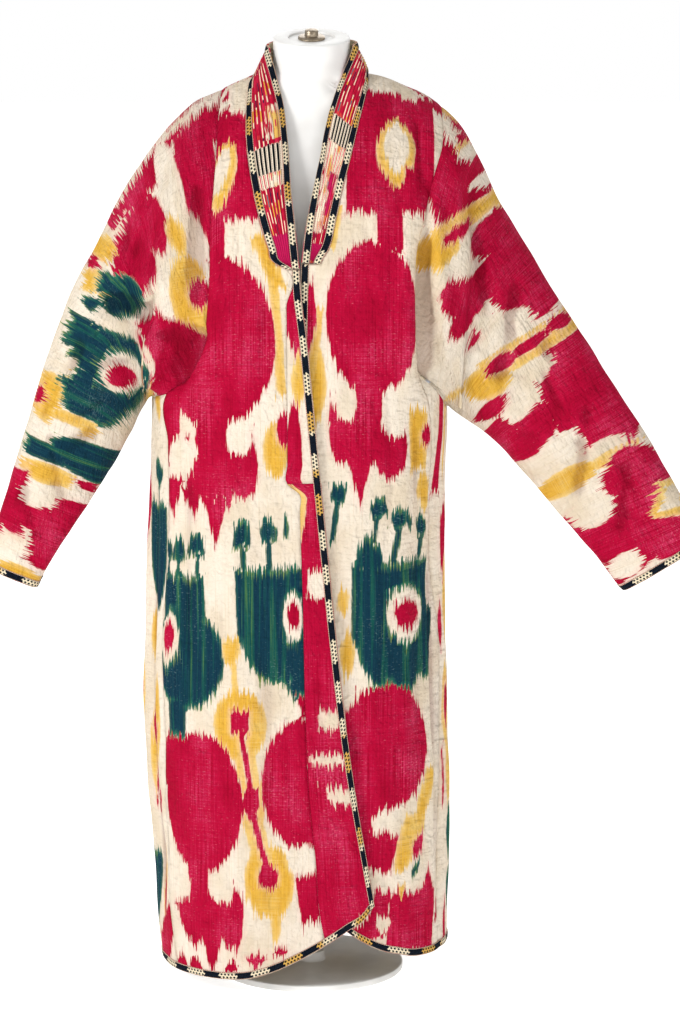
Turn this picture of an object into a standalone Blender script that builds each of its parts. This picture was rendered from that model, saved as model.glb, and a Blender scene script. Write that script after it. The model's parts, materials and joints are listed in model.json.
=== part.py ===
"""An ikat chapan robe on a limbless dress form.

Sizes are in millimetres: x to the right, y to the back, z up from the floor. Left and right are as seen from
the front. Every panel is a grid of points worked out from the tables below, so that pieces share their seams.
"""

import bpy
import numpy as np
from mathutils import Vector
from mathutils.bvhtree import BVHTree

WALL = 3.0
SEAM = 0.3
BRAID_WIDE = 11.0
BRAID_THICK = 1.4
BRAID_LIFT = 0.5
RIB_HIGH = 1.3
SHOULDER_DROP = 220.0
SHOULDER_POWER = 2.2
LAYER_GAP = 7.5


def table(names, *rows):
    """A table as a dictionary from column name to an array."""
    return {name: np.array(column, float) for name, column in zip(names.split(), zip(*rows))}


def smooth(keys, values, at):
    """A soft curve through the values, flat past both ends. Values may be points."""
    keys = np.asarray(keys, float)
    values = np.asarray(values, float)
    slopes = np.gradient(values, keys, axis=0)
    at = np.clip(np.asarray(at, float), keys[0], keys[-1])
    i = np.clip(np.searchsorted(keys, at) - 1, 0, len(keys) - 2)
    h = keys[i + 1] - keys[i]
    t = (at - keys[i]) / h
    extra = values.ndim - 1
    h = h.reshape(h.shape + (1,) * extra)
    t = t.reshape(t.shape + (1,) * extra)
    low = values[i] * (1 + 2 * t) * (1 - t) ** 2 + h * slopes[i] * t * (1 - t) ** 2
    high = values[i + 1] * t**2 * (3 - 2 * t) + h * slopes[i + 1] * t**2 * (t - 1)
    return low + high


def look(tab, column, at):
    """One column of a table, read along its first column."""
    first = next(iter(tab))
    return smooth(tab[first], tab[column], at)


def ease(t):
    t = np.clip(t, 0, 1)
    return t * t * (3 - 2 * t)


# The robe's outline at each height: sides, front and back, and how square the ring is.
BODY = table(
    "z left right front back power",
    (20, -215, 199, -158, 150, 2.5),
    (60, -219, 199, -158, 150, 2.5),
    (174, -222, 198, -157, 149, 2.5),
    (300, -232, 197, -156, 148, 2.5),
    (397, -236, 194, -154, 147, 2.5),
    (515, -233, 191, -152, 145, 2.5),
    (620, -230, 190, -150, 142, 2.5),
    (719, -228, 192, -149, 140, 2.5),
    (790, -227, 196, -148, 138, 2.5),
    (842, -226, 198, -148, 136, 2.5),
    (950, -232, 215, -147, 132, 2.6),
    (1050, -236, 234, -145, 128, 2.7),
    (1170, -238, 245, -138, 124, 2.8),
    (1320, -238, 248, -128, 118, 2.8),
)

# The line of the shoulders from side to side.
CREST = table(
    "x z",
    (-226, 1189),
    (-197, 1225),
    (-176, 1247),
    (-155, 1262),
    (-124, 1274),
    (-98, 1287),
    (-72, 1299),
    (-40, 1312),
    (0, 1318),
    (45, 1312),
    (82, 1297),
    (106, 1291),
    (128, 1283),
    (156, 1271),
    (186, 1251),
    (212, 1225),
    (238, 1183),
)

# Seams of the two fronts by height: the side seam and armhole, and the inner seam under collar and inset.
LEFT_OUTER = table(
    "z x",
    (20, -193),
    (132, -203),
    (278, -206),
    (400, -207),
    (509, -209),
    (600, -203),
    (700, -198),
    (787, -199),
    (853, -201),
    (884, -172),
    (925, -150),
    (993, -140),
    (1055, -137),
    (1106, -134),
    (1193, -128),
    (1274, -124),
)
RIGHT_OUTER = table(
    "z x",
    (20, 186),
    (340, 188),
    (423, 186),
    (509, 184),
    (577, 179),
    (700, 175),
    (787, 174),
    (850, 167),
    (890, 160),
    (929, 156),
    (1025, 152),
    (1106, 162),
    (1167, 176),
    (1200, 186),
    (1251, 186),
)
LEFT_INNER = table(
    "z x",
    (20, 42),
    (94, 19),
    (210, 7.6),
    (283, 0),
    (427, -6),
    (570, -9),
    (700, -12.4),
    (719, -12.6),
    (734, -30),
    (760, -30),
    (980, -31),
    (1032, -32),
    (1042, -49),
    (1060, -56),
    (1100, -68),
    (1145, -78),
    (1190, -85),
    (1230, -87.5),
    (1262, -86.5),
    (1285, -82),
    (1299, -72),
)
RIGHT_INNER = table(
    "z x",
    (20, 62),
    (283, 50),
    (600, 36),
    (900, 22),
    (1032, 16),
    (1042, 18),
    (1060, 28),
    (1100, 38),
    (1145, 48),
    (1190, 59.5),
    (1230, 69),
    (1262, 77),
    (1283, 81.5),
    (1297, 82),
)
# The open edges of the fronts. The left one lies over the right one.
LEFT_EDGE = table(
    "z x",
    (20, 98),
    (130, 92),
    (167, 86),
    (210, 79),
    (283, 66.5),
    (398, 51),
    (513, 38.5),
    (626, 27.5),
    (739, 16.5),
    (851, 5.5),
    (948, -4),
    (989, -9.5),
    (1042, -13),
)
RIGHT_EDGE = table(
    "z x",
    (20, 8),
    (140, 4),
    (400, -6),
    (700, -12),
    (948, -13),
    (1042, -10.5),
)
# The hem's height across the fronts.
LEFT_HEM = table(
    "x z",
    (-225, 23),
    (-150, 22),
    (-113, 22),
    (-85, 26),
    (-56, 35),
    (-28, 47),
    (0, 62),
    (29, 79),
    (53, 95),
    (80, 114),
    (92, 132),
)
RIGHT_HEM = table(
    "x z",
    (4, 150),
    (20, 122),
    (40, 103),
    (57, 89),
    (86, 70),
    (107, 60),
    (128, 55),
    (147, 50),
    (166, 48),
    (200, 49),
)
BACK_HEM = table("x z", (-225, 23), (-100, 27), (80, 38), (200, 49))

# Heights along each panel's inner seam at which its rows lie.
LOW_ROWS = (0, 0.055, 0.15, 0.24, 0.33, 0.42, 0.51, 0.60, 0.69, 0.76, 0.828, 0.847, 0.92, 1)
HIGH_ROWS = (0, 0.172, 0.33, 0.401, 0.424, 0.464, 0.554, 0.655, 0.756, 0.845, 0.917, 0.969, 1)
WAIST_ROW = 11
COLLAR_ROW = len(LOW_ROWS) - 1 + 3
UNDERARM = 853.0
UNDERARM_RIGHT = 890.0
NECK_POINT = 1299.0
NECK_LOW = 1289.0
COLUMNS_LEFT = 9
COLUMNS_RIGHT = 8
COLUMNS_NECK = 4
COLUMNS_INSET = 3
COLUMNS_GORE = 6

# The collar's free edge on each side, by height: how far across and how far forward.
COLLAR_LEFT = table(
    "z x y",
    (1034, -12.5, -150),
    (1096, -19, -139),
    (1151, -25, -121),
    (1206, -29, -97),
    (1261, -36.5, -67),
    (1296, -46, -43),
    (1333, -56.5, -18),
)
COLLAR_RIGHT = table(
    "z x y",
    (1036, -10.5, -150),
    (1096, -3, -139),
    (1137, 5.5, -127),
    (1179, 14, -110),
    (1220, 22, -90),
    (1261, 33, -67),
    (1289, 43, -47),
    (1316, 54, -28),
    (1338, 62, -16),
)
# The same edge round the back of the neck, from the left neck point to the right one.
COLLAR_BACK = table(
    "step x y z",
    (0, -56.5, -18, 1333),
    (1, -60, 10, 1338),
    (2, -52, 38, 1342),
    (3, -29, 57, 1344),
    (4, 3, 64, 1345),
    (5, 35, 57, 1345),
    (6, 58, 38, 1344),
    (7, 66.5, 10, 1341),
    (8, 62, -16, 1338),
)
COLLAR_RIBS = 6

# Rings of each sleeve after the armhole: the top and low point, and the half depth to front and back.
SLEEVE_LEFT = table(
    "step top_x top_z low_x low_z front back",
    (0.45, -160, 1259, -231, 836, 124, 118),
    (1, -197, 1225, -235, 829, 112, 106),
    (1.6, -225, 1190, -240, 821, 102, 96),
    (2.4, -254, 1148, -246, 810, 93, 87),
    (3.4, -280, 1102, -253, 796, 86, 80),
    (4.4, -304, 1056, -263, 779, 80, 75),
    (6, -344, 978, -283, 738, 72, 68),
    (7.6, -378, 885, -311, 692, 66, 62),
    (8.9, -403, 806, -337, 652, 60, 57),
    (10.2, -430, 719, -362, 613, 55, 52),
    (11.2, -448, 660, -376, 590, 51, 48),
    (12.2, -467, 600, -389, 568, 48, 45),
)
SLEEVE_RIGHT = table(
    "step top_x top_z low_x low_z front back",
    (0.5, 212, 1225, 204, 820, 104, 104),
    (1.2, 238, 1183, 213, 813, 90, 92),
    (2.2, 269, 1119, 230, 802, 78, 80),
    (3.4, 305, 1059, 261, 780, 69, 70),
    (4.6, 341, 1000, 294, 744, 62, 63),
    (6, 385, 933, 334, 699, 56, 57),
    (7.4, 428, 866, 373, 655, 51, 52),
    (8.8, 473, 799, 405, 618, 47, 48),
    (10.3, 523, 719, 432, 584, 43, 43),
    (11.2, 550, 679, 442, 571, 41, 41),
    (12, 575, 639, 452, 562, 40, 40),
)
SLEEVE_POWER = 2.2

# Large folds: a line on one face, how far it stands out (minus is a trough) and how wide it is.
FOLDS = table(
    "face x0 z0 x1 z1 out wide",
    (-1, 158, 1080, 166, 860, -17, 13),
    (-1, 136, 1100, 140, 860, 6, 14),
    (-1, 178, 1120, 190, 900, 8, 14),
    (-1, 150, 840, 158, 330, -6, 11),
    (-1, 128, 800, 132, 260, 4, 16),
    (-1, 150, 1240, 160, 1120, -6, 9),
    (-1, 200, 1190, 214, 1000, 5, 13),
    (-1, 224, 1150, 250, 960, -5, 11),
    (-1, 262, 1060, 270, 900, 4, 14),
    (-1, 290, 1010, 262, 850, -6, 12),
    (-1, 230, 905, 300, 800, 6, 16),
    (-1, 330, 930, 350, 800, -4, 12),
    (-1, 392, 840, 380, 700, -5, 12),
    (-1, 452, 760, 440, 640, -4, 12),
    (-1, -150, 950, -190, 862, -15, 14),
    (-1, -206, 935, -222, 858, 15, 17),
    (-1, -212, 962, -296, 990, -13, 13),
    (-1, -170, 1000, -282, 1034, 7, 17),
    (-1, -150, 1150, -156, 1010, -5, 12),
    (-1, -200, 1150, -210, 1040, 4, 14),
    (-1, -262, 880, -330, 850, 6, 18),
    (-1, -320, 930, -344, 860, -6, 12),
    (-1, -300, 800, -352, 770, -5, 14),
    (-1, -372, 800, -352, 690, -5, 12),
    (-1, -410, 720, -388, 640, -4, 12),
    (-1, -170, 780, -176, 300, -5, 14),
    (-1, -100, 700, -104, 200, 3, 20),
    (-1, -60, 480, -64, 120, -3, 18),
    (-1, 90, 620, 96, 150, 3, 18),
    (1, -150, 1060, -190, 862, -14, 14),
    (1, -212, 950, -300, 980, -11, 14),
    (1, -170, 1000, -262, 1030, 6, 17),
    (1, 158, 1080, 166, 880, -14, 14),
    (1, 240, 1120, 262, 940, -5, 13),
    (1, 300, 980, 276, 860, -6, 13),
    (1, -330, 920, -344, 850, -5, 13),
    (1, -120, 980, -134, 240, -7, 17),
    (1, -70, 1080, -78, 160, 5, 21),
    (1, 66, 1090, 74, 180, -6, 18),
    (1, 118, 960, 130, 220, 6, 18),
    (1, 10, 860, 4, 140, 4, 20),
)
# Upright folds of the two side gores: how far back they lie, and their top and low ends.
SIDE_FOLDS = table(
    "side y0 y1 low high out wide",
    (-1, -62, -58, 60, 800, -7, 13),
    (-1, -20, -26, 90, 760, 5, 15),
    (-1, 24, 30, 40, 800, -6, 14),
    (-1, 78, 74, 120, 760, -7, 14),
    (1, -70, -74, 70, 810, -8, 12),
    (1, -36, -40, 120, 790, 6, 14),
    (1, 4, -4, 60, 780, -8, 14),
    (1, 52, 44, 90, 790, 5, 15),
    (1, 92, 84, 150, 740, -7, 13),
)

# The dress form's trunk, which the shoulders rest on.
FORM = table(
    "z left right front back power",
    (700, -120, 130, -88, 92, 2.2),
    (712, -142, 152, -104, 106, 2.2),
    (780, -152, 162, -110, 112, 2.2),
    (860, -142, 153, -103, 104, 2.2),
    (930, -137, 148, -100, 98, 2.2),
    (1010, -150, 161, -106, 97, 2.3),
    (1090, -164, 176, -104, 98, 2.3),
    (1140, -176, 187, -96, 96, 2.3),
    (1175, -184, 195, -88, 92, 2.3),
    (1200, -186, 198, -80, 87, 2.3),
    (1221, -185, 199, -73, 82, 2.3),
    (1236, -179, 193, -68, 77, 2.3),
    (1249, -167, 182, -65, 74, 2.3),
    (1260, -150, 168, -62, 71, 2.2),
    (1270, -128, 149, -57, 62, 2.2),
    (1279, -104, 120, -55, 55, 2.1),
    (1287, -80, 84, -53, 54, 2.0),
    (1294, -62, 70, -52.5, 55.5, 2.0),
    (1301, -54, 61, -52.5, 55.5, 2.0),
    (1311, -51.5, 57.5, -52.5, 55.5, 2.0),
    (1324, -51, 57, -52.5, 55.5, 2.0),
)
NECK_CENTRE = (3.0, 1.5)
NECK_RADIUS = 54.0
NECK_TOP = 1348.0
NECK_SLOPE = 0.24
NECK_RECESS = 33.0
FORM_ROUND = 32
REST_GAP = 0.6
POLE_RADIUS = 13.0
BASE_RADIUS = 135.0
BASE_THICK = 10.0


def cloth_y(x, z, face):
    """How far forward or back the robe's body lies at x and z. Face is -1 for the front and 1 for the back."""
    left = look(BODY, "left", z)
    right = look(BODY, "right", z)
    power = look(BODY, "power", z)
    across = np.clip(np.abs(2 * x - left - right) / (right - left), 0, 1)
    ring = (1 - across**power) ** (1 / power)
    below = np.clip((look(CREST, "z", x) - z) / SHOULDER_DROP, 0, 1)
    arch = (1 - (1 - below) ** SHOULDER_POWER) ** (1 / SHOULDER_POWER)
    return look(BODY, "front" if face < 0 else "back", z) * ring * arch


def side_point(side, turn, z):
    """A point on the ring at height z: turn 0 is its side, -1 the front and 1 the back, both at a quarter."""
    left = look(BODY, "left", z)
    right = look(BODY, "right", z)
    power = look(BODY, "power", z)
    angle = np.abs(turn) * np.pi / 2
    half = (right - left) / 2
    x = (left + right) / 2 + side * half * np.cos(angle) ** (2 / power)
    depth = np.where(turn < 0, look(BODY, "front", z), look(BODY, "back", z))
    return np.stack([x, depth * np.sin(angle) ** (2 / power), z], -1)


def side_turn(side, x, z):
    """The turn at which the ring at height z has this x."""
    left = look(BODY, "left", z)
    right = look(BODY, "right", z)
    power = look(BODY, "power", z)
    across = np.clip(side * (2 * x - left - right) / (right - left), 0, 1)
    return np.arccos(across ** (power / 2)) * 2 / np.pi


def finer(values, times):
    """The same run of values with each step cut into this many."""
    steps = np.arange((len(values) - 1) * times + 1) / times
    return np.interp(steps, np.arange(len(values)), values)


def lower_grid(outer, inner, hem, under, rows, across):
    """A body panel from hem to underarm. Outer and inner give x by height; under gives the top's z by column."""
    f = np.asarray(rows, float)[:, None]
    u = np.asarray(across, float)[None, :]
    z = 400 + 0 * f * u
    for _ in range(6):
        x = outer(z) * (1 - u) + inner(z) * u
        low = look(hem, "z", x[:1])
        z = low * (1 - f) + under(u) * f
    x = outer(z) * (1 - u) + inner(z) * u
    return x, z


def upper_grid(outer, inner, under, outer_top, inner_top, rows, across, top_line):
    """A body panel from underarm to shoulder, by x and z."""
    f = np.asarray(rows, float)[:, None]
    u = np.asarray(across, float)[None, :]
    z_outer = under(0 * f) * (1 - f) + outer_top * f
    z_inner = under(0 * f + 1) * (1 - f) + inner_top * f
    x = outer(z_outer) * (1 - u) + inner(z_inner) * u
    straight = z_outer * (1 - u) + z_inner * u
    top = top_line(x[-1:]) - straight[-1:]
    bend = (under(u) - straight[:1]) * (1 - f) ** 2
    return x, straight + top * f**4 + bend


def along(tab):
    return lambda z: look(tab, "x", z)


def left_under(u):
    return UNDERARM + 0 * u


def right_under(u):
    return UNDERARM_RIGHT + (UNDERARM + 14 - UNDERARM_RIGHT) * ease(u)


def to_points(x, z, face):
    return np.stack([x, cloth_y(x, z, face), z], -1)


def crest_z(x):
    return look(CREST, "z", x)


def push_under(points):
    """The right front lies behind the left one where they overlap."""
    edge = look(LEFT_EDGE, "x", points[..., 2])
    reach = ease((edge + 50 - points[..., 0]) / 45)
    start = ease((1046 - points[..., 2]) / 50)
    points[..., 1] += LAYER_GAP * reach * start
    return points


def fractions(count, times):
    return np.linspace(0, 1, count * times + 1)


def front_left(times=1):
    outer = along(LEFT_OUTER)
    inner = along(LEFT_INNER)
    u = fractions(COLUMNS_LEFT, times)
    low = lower_grid(outer, inner, LEFT_HEM, left_under, finer(LOW_ROWS, times), u)
    high = upper_grid(
        outer, inner, left_under, 1274, NECK_POINT, finer(HIGH_ROWS, times), u, crest_z
    )
    x = np.concatenate([low[0], high[0][1:]])
    z = np.concatenate([low[1], high[1][1:]])
    return to_points(x, z, -1)


def front_right(times=1):
    """From the collar's line to the side, so that its columns run the same way round as the left's."""
    outer = along(RIGHT_OUTER)
    inner = along(RIGHT_INNER)
    u = fractions(COLUMNS_RIGHT, times)
    low = lower_grid(outer, inner, RIGHT_HEM, right_under, finer(LOW_ROWS, times), u)
    high = upper_grid(
        outer, inner, right_under, 1251, NECK_POINT - 2, finer(HIGH_ROWS, times), u, crest_z
    )
    x = np.concatenate([low[0], high[0][1:]])[:, ::-1]
    z = np.concatenate([low[1], high[1][1:]])[:, ::-1]
    return push_under(to_points(x, z, -1))


def front_strip(side, times=1):
    """The strip between a front's inner seam and its open edge, up to the collar."""
    seam, edge, hem = {
        -1: (LEFT_INNER, LEFT_EDGE, LEFT_HEM),
        1: (RIGHT_INNER, RIGHT_EDGE, RIGHT_HEM),
    }[side]
    u = fractions(COLUMNS_INSET, times)
    rows = np.concatenate([finer(LOW_ROWS, times), 1 + finer(HIGH_ROWS[:4], times)[1:]])
    panel = front_left(times) if side < 0 else front_right(times)[:, ::-1]
    start = panel[: len(rows), -1]
    f = np.clip(rows, 0, 1)
    z = start[:, 2:3] + 0 * u[None, :]
    for _ in range(6):
        x = look(seam, "x", start[:, 2:3]) * (1 - u) + look(edge, "x", z) * u
        low = look(hem, "z", x[0]) - start[0, 2]
        z = start[:, 2:3] + low[None, :] * (1 - f[:, None]) ** 2
    x = start[:, :1] * (1 - u) + look(edge, "x", z) * u
    points = to_points(x, z, -1)
    if side > 0:
        points = push_under(points)[:, ::-1]
    return points


def back_panel(side, times=1):
    """A back from the centre seam to the side. Its neckline lies between the seam and the neck point."""
    left = side < 0
    outer = along(LEFT_OUTER if left else RIGHT_OUTER)
    under = left_under if left else right_under
    neck_x = -72.0 if left else 82.0
    neck_z = NECK_POINT if left else NECK_POINT - 2
    columns = COLUMNS_LEFT if left else COLUMNS_RIGHT
    u = fractions(columns, times)

    def at_neck(z):
        return neck_x + 0 * z

    def centre(z):
        return 3.0 - 12 * ease((1100 - z) / 900)

    def neck_line(x):
        return neck_z + (NECK_LOW - neck_z) * ease(np.abs(x - neck_x) / 60)

    low = lower_grid(outer, at_neck, BACK_HEM, under, finer(LOW_ROWS, times), u)
    high = upper_grid(
        outer,
        at_neck,
        under,
        1274 if left else 1251,
        neck_z,
        finer(HIGH_ROWS, times),
        u,
        crest_z,
    )
    x = np.concatenate([low[0], high[0][1:]])
    z = np.concatenate([low[1], high[1][1:]])

    def under_neck(v):
        side_value = under(v * 0 + 1)
        return side_value + (UNDERARM + 7 - side_value) * v

    v = fractions(COLUMNS_NECK, times)
    low = lower_grid(at_neck, centre, BACK_HEM, under_neck, finer(LOW_ROWS, times), v)
    high = upper_grid(
        at_neck,
        centre,
        under_neck,
        neck_z,
        NECK_LOW,
        finer(HIGH_ROWS, times),
        v,
        neck_line,
    )
    x = np.concatenate([x, np.concatenate([low[0], high[0][1:]])[:, 1:]], 1)
    z = np.concatenate([z, np.concatenate([low[1], high[1][1:]])[:, 1:]], 1)
    points = to_points(x, z, 1)
    return points[:, ::-1] if left else points


def gore(side, times=1):
    """A side panel from its back seam round to its front seam, the other way round on the right."""
    left = side < 0
    front = front_left(times)[:, 0] if left else front_right(times)[:, -1]
    back = back_panel(side, times)[:, -1 if left else 0]
    rows = (len(LOW_ROWS) - 1) * times + 1
    f = np.asarray(finer(LOW_ROWS, times))[:, None]
    u = fractions(COLUMNS_GORE, times)[None, :]
    mid_top = 843.0 if left else 827.0
    bow = 4 * u * (1 - u)
    z_line = back[:rows, 2:] * (1 - u) + front[:rows, 2:] * u
    z = z_line + (mid_top - z_line[-1:]) * bow * f**3
    turn_front = -side_turn(side, front[:rows, :1], z)
    turn_back = side_turn(side, back[:rows, :1], z)
    turn = np.where(u < 0.5, turn_back * (1 - 2 * u), turn_front * (2 * u - 1))
    points = side_point(side, turn, z)
    points[:, 0] = back[:rows]
    points[:, -1] = front[:rows]
    return points if left else points[:, ::-1]


def armhole(side, times=1):
    """The armhole's points from its low point up the front, over the shoulder and down the back."""
    left = side < 0
    top = (len(LOW_ROWS) - 1) * times
    under = gore(side, times)[-1]
    half = COLUMNS_GORE * times // 2
    if left:
        front = front_left(times)[top:, 0]
        back = back_panel(-1, times)[top:, -1]
        low_front = under[half:]
        low_back = under[: half + 1][::-1]
    else:
        front = front_right(times)[top:, -1]
        back = back_panel(1, times)[top:, 0]
        low_front = under[: half + 1][::-1]
        low_back = under[half:]
    return np.concatenate([low_front[:-1], front, back[::-1][1:], low_back[::-1][1:]])


def sleeve(side, times=1):
    """A sleeve from armhole to cuff, one row a ring."""
    tab = SLEEVE_LEFT if side < 0 else SLEEVE_RIGHT
    first = armhole(side, times)
    count = len(first) - 1
    around = np.arange(count + 1) / count * 2 * np.pi
    lift = np.sign(-np.cos(around)) * np.abs(np.cos(around)) ** (2 / SLEEVE_POWER)
    reach = -np.sign(np.sin(around)) * np.abs(np.sin(around)) ** (2 / SLEEVE_POWER)
    rings = [first]
    for i in range(len(tab["step"])):
        top = np.array([tab["top_x"][i], 0.0, tab["top_z"][i]])
        low = np.array([tab["low_x"][i], 0.0, tab["low_z"][i]])
        depth = np.where(reach < 0, tab["front"][i], tab["back"][i])
        ring = (top + low) / 2 + lift[:, None] * (top - low) / 2
        ring[:, 1] += depth * reach
        rings.append(ring)
    steps = np.concatenate([[0], tab["step"]])
    points = smooth(steps, np.array(rings), finer(steps, times))
    return points if side < 0 else points[:, ::-1]


def fold_field(points, normals):
    """How far each point of the robe moves out along its normal."""
    x, y, z = points[:, 0], points[:, 1], points[:, 2]
    out = np.zeros(len(points))
    for face, x0, z0, x1, z1, high, wide in zip(*FOLDS.values()):
        dx, dz = x1 - x0, z1 - z0
        length = np.hypot(dx, dz)
        t = ((x - x0) * dx + (z - z0) * dz) / length**2
        away = np.abs((x - x0) * dz - (z - z0) * dx) / length
        ends = ease(t * 4 + 0.35) * ease((1 - t) * 4 + 0.35)
        facing = ease(face * y / 40) * ease(face * normals[:, 1] * 2)
        out += high * np.exp(-((away / wide) ** 2)) * ends * facing
    for side, y0, y1, low, top, high, wide in zip(*SIDE_FOLDS.values()):
        t = (z - low) / (top - low)
        away = np.abs(y - (y0 + (y1 - y0) * t))
        ends = ease(t * 4 + 0.35) * ease((1 - t) * 5)
        facing = ease(side * normals[:, 0] * 2 - 0.4) * (np.abs(x + 12) > 150)
        out += high * np.exp(-((away / wide) ** 2)) * ends * facing
    return out


def collar(front, back_l, back_r, right, times=1):
    """The collar's grid, from its left end up round the neck to its right end. Columns run from seam to free edge."""
    start = COLLAR_ROW * times
    left_seam = front[start:, -1]
    neck = COLUMNS_NECK * times
    back_seam = np.concatenate([back_l[-1, : neck + 1][::-1], back_r[-1, -neck - 1 :][::-1][1:]])
    right_seam = right[start:, 0][::-1]
    seam = np.concatenate([left_seam, back_seam[1:-1], right_seam])
    z = left_seam[:, 2]
    f = ((z - z[0]) / (z[-1] - z[0]))[:, None]
    z_left = z[0] + 2 + (1331 - z[0]) * f[:, 0]
    left = np.stack([look(COLLAR_LEFT, "x", z_left), look(COLLAR_LEFT, "y", z_left), z_left], -1)
    steps = finer(COLLAR_BACK["step"], times)
    middle = np.stack([look(COLLAR_BACK, name, steps) for name in "xyz"], -1)
    z = right_seam[:, 2]
    z_right = z[-1] + 2 + (1336 - z[-1]) * (z - z[-1]) / (z[0] - z[-1])
    right_edge = np.stack(
        [look(COLLAR_RIGHT, "x", z_right), look(COLLAR_RIGHT, "y", z_right), z_right], -1
    )
    edge = np.concatenate([left, middle[1:-1], push_under(right_edge)])
    wide = np.linalg.norm(edge - seam, axis=1)[:, None]
    trim = np.minimum((BRAID_WIDE + 1) / wide, 0.42)
    ribs = np.linspace(0, 1, COLLAR_RIBS * 2 * times + 1)
    w = np.concatenate(
        [
            trim * np.linspace(0, 1, times + 1)[:-1],
            trim + (1 - 2 * trim) * ribs,
            1 - trim * np.linspace(1, 0, times + 1)[1:],
        ],
        1,
    )
    flat = seam[:, None] * (1 - w[..., None]) + edge[:, None] * w[..., None]
    centre = np.array([3.0, 1.5])
    away = flat[..., :2] - centre
    away /= np.linalg.norm(away, axis=-1, keepdims=True)
    bulge = 16 * w * (1 - w) * ease((flat[..., 2] - 1050) / 120)
    flat[..., :2] += away * bulge[..., None]
    return flat


class Cloth:
    """One welded net of four-sided cells, so that neighbours share corners and normals."""

    def __init__(self):
        self.keys = {}
        self.points = []
        self.cells = {}
        self.grids = {}

    def corner(self, point):
        key = tuple(np.round(point / 0.02).astype(int))
        if key not in self.keys:
            self.keys[key] = len(self.points)
            self.points.append(point)
        return self.keys[key]

    def add(self, grid, names):
        """Names gives the node of each cell by row and column, or one name for all of them."""
        rows, columns = grid.shape[:2]
        index = np.array([[self.corner(p) for p in row] for row in grid])
        for i in range(rows - 1):
            for j in range(columns - 1):
                name = names if isinstance(names, str) else names(i, j)
                cell = (index[i, j], index[i, j + 1], index[i + 1, j + 1], index[i + 1, j])
                self.cells.setdefault(name, []).append(cell)
        return index

    def finish(self):
        self.points = np.array(self.points)

    def normals(self):
        total = np.zeros_like(self.points)
        worst = {}
        for cells in self.cells.values():
            quads = np.array(cells)
            corners = self.points[quads]
            face = np.cross(corners[:, 2] - corners[:, 0], corners[:, 3] - corners[:, 1])
            face /= np.maximum(np.linalg.norm(face, axis=1, keepdims=True), 1e-9)
            for k in range(4):
                before = corners[:, k - 1] - corners[:, k]
                after = corners[:, (k + 1) % 4] - corners[:, k]
                size = np.linalg.norm(before, axis=1) * np.linalg.norm(after, axis=1)
                cosine = (before * after).sum(1) / np.maximum(size, 1e-9)
                angle = np.arccos(np.clip(cosine, -1, 1))
                np.add.at(total, quads[:, k], face * angle[:, None])
        total /= np.maximum(np.linalg.norm(total, axis=1, keepdims=True), 1e-9)
        reach = np.ones(len(total))
        for cells in self.cells.values():
            quads = np.array(cells)
            corners = self.points[quads]
            face = np.cross(corners[:, 2] - corners[:, 0], corners[:, 3] - corners[:, 1])
            face /= np.maximum(np.linalg.norm(face, axis=1, keepdims=True), 1e-9)
            for k in range(4):
                np.minimum.at(reach, quads[:, k], (face * total[quads[:, k]]).sum(1))
        return total, 1 / np.clip(reach, 0.55, 1)


def open_edges(quads):
    """Edges that only one of these cells has, as (start, end, cell)."""
    seen = {}
    for number, cell in enumerate(quads):
        for k in range(4):
            a, b = cell[k], cell[(k + 1) % 4]
            if a == b:
                continue
            seen.setdefault((min(a, b), max(a, b)), []).append((a, b, number))
    return [found[0] for found in seen.values() if len(found) == 1]


def make_object(name, points, faces):
    mesh = bpy.data.meshes.new(name)
    mesh.from_pydata([tuple(p / 1000) for p in points], [], faces)
    mesh.update()
    obj = bpy.data.objects.new(name, mesh)
    bpy.context.scene.collection.objects.link(obj)
    return obj


def panel_solid(name, cloth, normals, reach, raised):
    """The cells of one piece as a closed wall, drawn in from its seams."""
    quads = cloth.cells[name]
    used = sorted({v for cell in quads for v in cell})
    number = {v: i for i, v in enumerate(used)}
    outer = cloth.points[used].copy()
    inward = np.zeros_like(outer)
    edges = open_edges(quads)
    for a, b, cell in edges:
        corners = cloth.points[list(quads[cell])]
        middle = corners.mean(0) - cloth.points[a]
        run = cloth.points[b] - cloth.points[a]
        run /= max(np.linalg.norm(run), 1e-9)
        into = middle - run * (middle @ run)
        for v in (a, b):
            level = into - normals[v] * (into @ normals[v])
            inward[number[v]] += level / max(np.linalg.norm(level), 1e-9)
    size = (inward**2).sum(1, keepdims=True)
    share = np.where(size > 0.3, 2 / np.maximum(size, 0.3), 1.0)
    shift = inward * np.minimum(share, 2.0) * SEAM / 2
    n = normals[used]
    inner = outer + shift - n * (WALL * np.minimum(reach[used], 1.6))[:, None]
    outer = outer + shift + n * raised[used][:, None]
    faces = []
    count = len(used)
    for cell in quads:
        ring = [number[v] for k, v in enumerate(cell) if v != cell[k - 1]]
        faces.append(ring)
        faces.append([v + count for v in ring[::-1]])
    for a, b, _ in edges:
        start, end = number[a], number[b]
        if a < b:
            faces += [[end, start, end + count], [start, start + count, end + count]]
        else:
            faces += [[end, start, start + count], [end, start + count, end + count]]
    triangles = []
    for face in faces:
        for k in range(1, len(face) - 1):
            triangles.append([face[0], face[k], face[k + 1]])
    make_object(name, np.concatenate([outer, inner]), triangles)
    inside = [t for t in triangles if min(t) >= count]
    return inner, [[v - count for v in t] for t in inside]


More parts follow.
